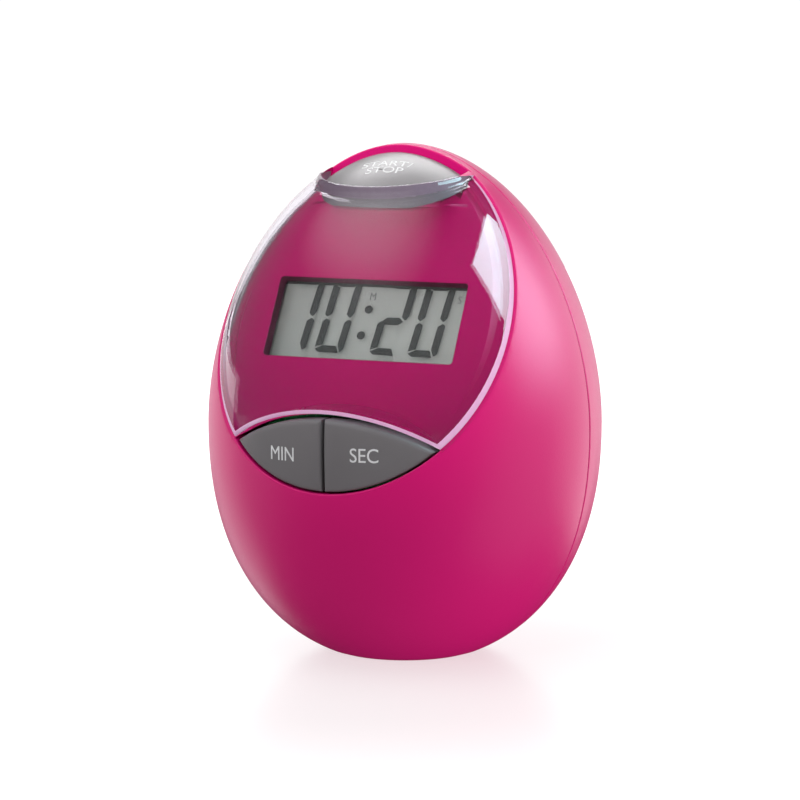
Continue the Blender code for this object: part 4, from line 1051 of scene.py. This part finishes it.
def segmentShapes():
    # outlines from the lower left corner of one digit, before the slant
    h = digits["height"]
    lowBar = [(0.05, 0.50), (0.70, 0.02), (3.95, 0), (3.42, 1.08), (1.30, 1.12)]
    return {
        "a": [(x, h - y) for x, y in lowBar],
        "b": [(3.57, 6.18), (4.23, 5.66), (4.70, 6.40), (4.70, h - 0.65), (4.20, h - 0.20), (3.58, h - 1.25)],
        "c": [(3.58, 1.25), (4.20, 0.20), (4.70, 0.65), (4.70, 5.10), (4.22, 5.40), (3.55, 4.88)],
        "d": lowBar,
        "e": [(0, 0.78), (1.14, 1.22), (1.14, 5.10), (0.48, 5.42), (0, 4.94)],
        "f": [(0.53, 5.66), (1.15, 6.30), (1.14, h - 1.22), (0, h - 0.78), (0, 6.08)],
        "g": [(0.63, 5.40), (1.30, 6.02), (3.28, 6.04), (3.98, 5.45), (3.20, 4.87), (1.15, 4.86)]}


def plate(shape, outline, depth, thickness):
    near = [shape.verts.new(facePoint(x, up, depth) * mm) for x, up in outline]
    far = [shape.verts.new(facePoint(x, up, depth + thickness) * mm) for x, up in outline]
    shape.faces.new(near)
    shape.faces.new(far[::-1])
    for i in range(len(outline)):
        j = (i + 1) % len(outline)
        shape.faces.new((near[i], far[i], far[j], near[j]))


def makeDigits():
    shape = bmesh.new()
    shapes = segmentShapes()
    for left, digit in zip(digits["lefts"], digits["shown"]):
        for segment in lit[digit]:
            outline = [(left + x + y * digits["slant"], digits["foot"] + y) for x, y in shapes[segment]]
            plate(shape, outline, digits["depth"], digits["thickness"])
    for x, up in digits["dots"]:
        ring = [(x + digits["dotRadius"] * math.cos(a), up + digits["dotRadius"] * math.sin(a))
                for a in [2 * math.pi * i / 32 for i in range(32)]]
        plate(shape, ring, digits["depth"], digits["thickness"])
    dress(newPiece("display_segments", shape), segmentAndShadowDark, "case", weigh=False)
    # painted shadow: a dark plate in the segments' colour along the top of the display stands for the shadow of
    # the window's upper edge and hides the digits' top bars
    shadowBand = bmesh.new()
    w, low, high = digits["shadowBand"]
    plate(shadowBand, [(-w, low), (w, low), (w, high), (-w, high)], digits["depth"] - digits["shadowBandLift"],
          digits["shadowBandThickness"])
    dress(newPiece("display_shadowBand", shadowBand), segmentAndShadowDark, "case", weigh=False)


makeDigits()
for name, words, x in digits["marks"]:
    lettering(name, words, digits["markSize"], digits["markWidth"], lambda u, v, w: facePoint(
        x + u, digits["markHeight"] + v, digits["depth"] - w), "case", segmentFaint)
print("display made")


# Panes of the display

panes = dict(halfWidth=16.5, top=7.5, foot=-7.0, ledge=-9.7, edge=0.12, film=(2.0, 2.2), front=(2.4, 3.0),
             rear=(3.2, 3.8))


def makePane(name, node, near, far, foot, finish, slot):
    e = panes["edge"]

    def ring(margin, depth):
        w, top, low = panes["halfWidth"] - margin, panes["top"] - margin, foot + margin
        return [facePoint(x, up, depth) for x, up in ((-w, low), (w, low), (w, top), (-w, top))]
    pane = skin(name, [ring(e, near), ring(0, near + e), ring(0, far - e), ring(e, far)])
    pane.visible_shadow = False
    dress(pane, finish, "case", [node], weigh=False)


makePane("front_film_pane", "display_front_film", *panes["film"], panes["foot"], displayFilm, "display_film")
makePane("front_glass_pane", "display_front_glass", *panes["front"], panes["ledge"], displayGlass, "display_glass")
makePane("rear_glass_pane", "display_rear_glass", *panes["rear"], panes["foot"], displayGlass, "display_glass")


# Rubber domes under the keys

rubber = dict(height=2.0, flangeRadius=2.9, flange=0.4, topRadius=1.5, ceiling=1.3, pill=1.3, keep=0.6,
              startFoot=70.2, boardGap=0.2)


def makeRubber(name, at, along):
    r = rubber
    profile = [(0, r["height"]), (r["topRadius"] - 0.2, r["height"]), (r["topRadius"], r["height"] - 0.2),
               (r["topRadius"] + 0.05, r["height"] - 0.5), (r["flangeRadius"] - 0.75, r["flange"] + 0.25),
               (r["flangeRadius"] - 0.45, r["flange"]), (r["flangeRadius"] - 0.12, r["flange"]),
               (r["flangeRadius"], r["flange"] - 0.12), (r["flangeRadius"], 0), (r["flangeRadius"] - 0.85, 0),
               (r["flangeRadius"] - 1.15, 0.25), (r["pill"], r["ceiling"] - 0.1), (r["pill"] - 0.1, r["ceiling"]),
               (0, r["ceiling"])]
    piece = turned(name + "_dome", profile, 48, at, along)
    dress(piece, siliconeRubber, "case", [name], weigh=False)
    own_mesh(piece)


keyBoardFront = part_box("key_board")[0].y / mm - rubber["boardGap"]
makeRubber("start_rubber", (0, startKey["contactY"], rubber["startFoot"]), "Z")
makeRubber("min_rubber", (-frontKey["stemX"], keyBoardFront, frontKey["stemZ"]), "-Y")
makeRubber("sec_rubber", (frontKey["stemX"], keyBoardFront, frontKey["stemZ"]), "-Y")
print("rubber domes made")


# Finishes for the nodes that are shown as they are

nodeFinishes = {
    displayReflector: ["display_reflector"], whitePlastic: ["display_frame", "key_ribbon"],
    siliconeRubber: ["contact_strip"], carbonPill: ["start_pill", "min_pill", "sec_pill"],
    boardGreen: ["main_board", "key_board", "start_board"], blackResin: ["chip_blob", "resistor"],
    nickelSteel: ["crystal", "button_cell", "positive_contact", "negative_contact"] + [
        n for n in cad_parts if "screw" in n],
    brass: ["capacitor_1", "capacitor_2", "sounder_disc"], ceramic: ["sounder_ceramic"],
    redWire: ["cell_wire_plus", "sounder_wire_1", "start_wire_1"],
    blackWire: ["cell_wire_minus", "sounder_wire_2", "start_wire_2"]}
for finish, names in nodeFinishes.items():
    for name in names:
        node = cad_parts[name]
        node.data.materials.clear()
        node.data.materials.append(finish)
print("nodes finished")


# Pale floor and soft studio light

floorLook = dict(size=0.6, drop=0.00002, shade=0.30, roughness=0.25, gloss=0.12, glowNear=0.65, glow=0.95,
                 glowStart=0.045, glowEnd=0.12)


def floorFinish(place):
    # a soft glow away from the timer keeps the floor white there
    reach = place.node("VectorMath", {"operation": "LENGTH"}, {0: place}, "Value") * mm
    fade = place.node("MapRange", {"interpolation_type": "SMOOTHSTEP"}, {
        0: reach, 1: floorLook["glowStart"], 2: floorLook["glowEnd"]})
    return {"Emission Color": fade.blend((floorLook["glowNear"] / floorLook["glow"],) * 3, (1, 1, 1))}


floorShape = bmesh.new()
bmesh.ops.create_grid(floorShape, x_segments=1, y_segments=1, size=floorLook["size"])
floor = newPiece("floor", floorShape)
floor.location.z = -floorLook["drop"]
floor.data.materials.append(newFinish("paleFloor", {
    "Base Color": (floorLook["shade"],) * 3 + (1,), "Roughness": floorLook["roughness"],
    "Specular IOR Level": floorLook["gloss"], "Emission Strength": floorLook["glow"]}, floorFinish))
floor.visible_diffuse = False  # no strong light from below
floor.visible_glossy = False
floor.visible_shadow = False

room = dict(above=0.42, below=0.47, seen=1.05)
studio = bpy.data.worlds.new("studio")
studio.use_nodes = True
start = Wire(studio.node_tree)
height = start.node("SeparateXYZ", {}, {0: start.node("TexCoord", out="Generated")}, "Z")
light = (height > 0) * (room["above"] - room["below"]) + room["below"]
seen = start.node("LightPath", out="Is Camera Ray")
backdrop = studio.node_tree.nodes["Background"].inputs
backdrop["Color"].default_value = (1, 1, 1, 1)
studio.node_tree.links.new((seen * (room["seen"] - light) + light).socket, backdrop["Strength"])
studio.cycles_visibility.glossy = False  # only the soft boxes show in the gloss
studio.cycles.sampling_method = "NONE"  # an even room needs no map
scene.world = studio
scene.cycles.max_bounces = 32  # the display lies behind a dome and three panes
scene.cycles.transmission_bounces = 32

# soft boxes: a shine shows in the gloss only, a fill only lights
boxes = {
    "key": dict(azimuth=-46, elevation=72, distance=0.65, width=1.35, height=1.10, power=9.4, use="soft"),
    "front": dict(azimuth=-6, elevation=28, distance=0.75, width=0.18, height=0.18, power=0.9, use="fill"),
    "right": dict(azimuth=114, elevation=30, distance=0.55, width=0.37, height=0.40, power=6.2, use="shine",
                  tint=(0.62, 0.97, 1.0)),
    "rightFill": dict(azimuth=94, elevation=-22, distance=0.70, width=0.60, height=0.60, power=4.0, use="fill"),
    "behind": dict(azimuth=-158, elevation=51, distance=0.60, width=0.50, height=0.26, power=3.8, use="shine"),
    "back": dict(azimuth=146, elevation=0, distance=0.70, width=0.70, height=0.60, power=3.2, use="shine"),
    "rear": dict(azimuth=-158, elevation=8, distance=0.70, width=0.80, height=0.50, power=1.4),
    "left": dict(azimuth=-112, elevation=-17, distance=0.70, width=0.50, height=0.50, power=1.15, use="shine"),
    "leftFill": dict(azimuth=-78, elevation=0, distance=0.70, width=0.60, height=0.60, power=2.5, use="fill")}
aim = Vector((0, 0, 0.040))


def stand(name, data, place, at):
    # faces a point from a distance; azimuth 0 is in front of the timer, 90 at its right-hand side
    a, e = math.radians(place["azimuth"]), math.radians(place["elevation"])
    way = Vector((math.sin(a) * math.cos(e), -math.cos(a) * math.cos(e), math.sin(e)))
    holder = bpy.data.objects.new(name, data)
    holder.location = at + way * place["distance"]
    holder.rotation_euler = way.to_track_quat("Z", "Y").to_euler()
    scene.collection.objects.link(holder)
    return holder


def softEdge(lamp):
    # brightest in the middle, nothing at the edge
    lamp.use_nodes = True
    place = Wire(lamp.node_tree).node("NewGeometry", out="Parametric")
    off = place.node("VectorMath", {"operation": "DISTANCE"}, {0: place, 1: (0.5, 0.5, 0)}, "Value")
    fade = place.node("MapRange", {"interpolation_type": "SMOOTHSTEP"}, {0: off, 1: 0.5, 2: 0.0})
    lamp.node_tree.links.new(fade.socket, lamp.node_tree.nodes["Emission"].inputs["Strength"])


for name, b in boxes.items():
    lamp = bpy.data.lights.new(name, "AREA")
    lamp.shape = "ELLIPSE" if b.get("use") == "soft" else "RECTANGLE"
    lamp.size = b["width"]
    lamp.size_y = b["height"]
    lamp.energy = b["power"]
    lamp.color = b.get("tint", (1, 1, 1))
    if b.get("use") == "soft":
        softEdge(lamp)
    holder = stand(name, lamp, b, aim)
    holder.visible_diffuse = b.get("use") != "shine"
    holder.visible_glossy = b.get("use") != "fill"
    holder.visible_transmission = b.get("use") != "fill"

# a narrow lamp on the flat face and the hood
upperFill = dict(azimuth=20, elevation=6, distance=0.60, spread=math.radians(4.5), softness=0.03, power=30.0,
                 at=(6, -10, 66))
lamp = bpy.data.lights.new("upperFill", "SPOT")
lamp.energy = upperFill["power"]
lamp.spot_size = upperFill["spread"]
lamp.spot_blend = 1.0
lamp.shadow_soft_size = upperFill["softness"]
holder = stand("upperFill", lamp, upperFill, Vector(upperFill["at"]) * mm)
holder.visible_glossy = False
holder.visible_transmission = False

view = dict(azimuth=23.99, elevation=7.97, distance=0.4998, height=0.03507, sensor=36.0, focus=147.276,
            shiftX=-0.0064, shiftY=0.0259)
eyePoint = bpy.data.cameras.new("camera")
eyePoint.sensor_width = view["sensor"]
eyePoint.lens = view["focus"]
eyePoint.shift_x = view["shiftX"]
eyePoint.shift_y = view["shiftY"]
eyePoint.clip_start = 0.01
scene.camera = stand("camera", eyePoint, view, Vector((0, 0, view["height"])))
scene.view_settings.view_transform = "Standard"
print("stage set")
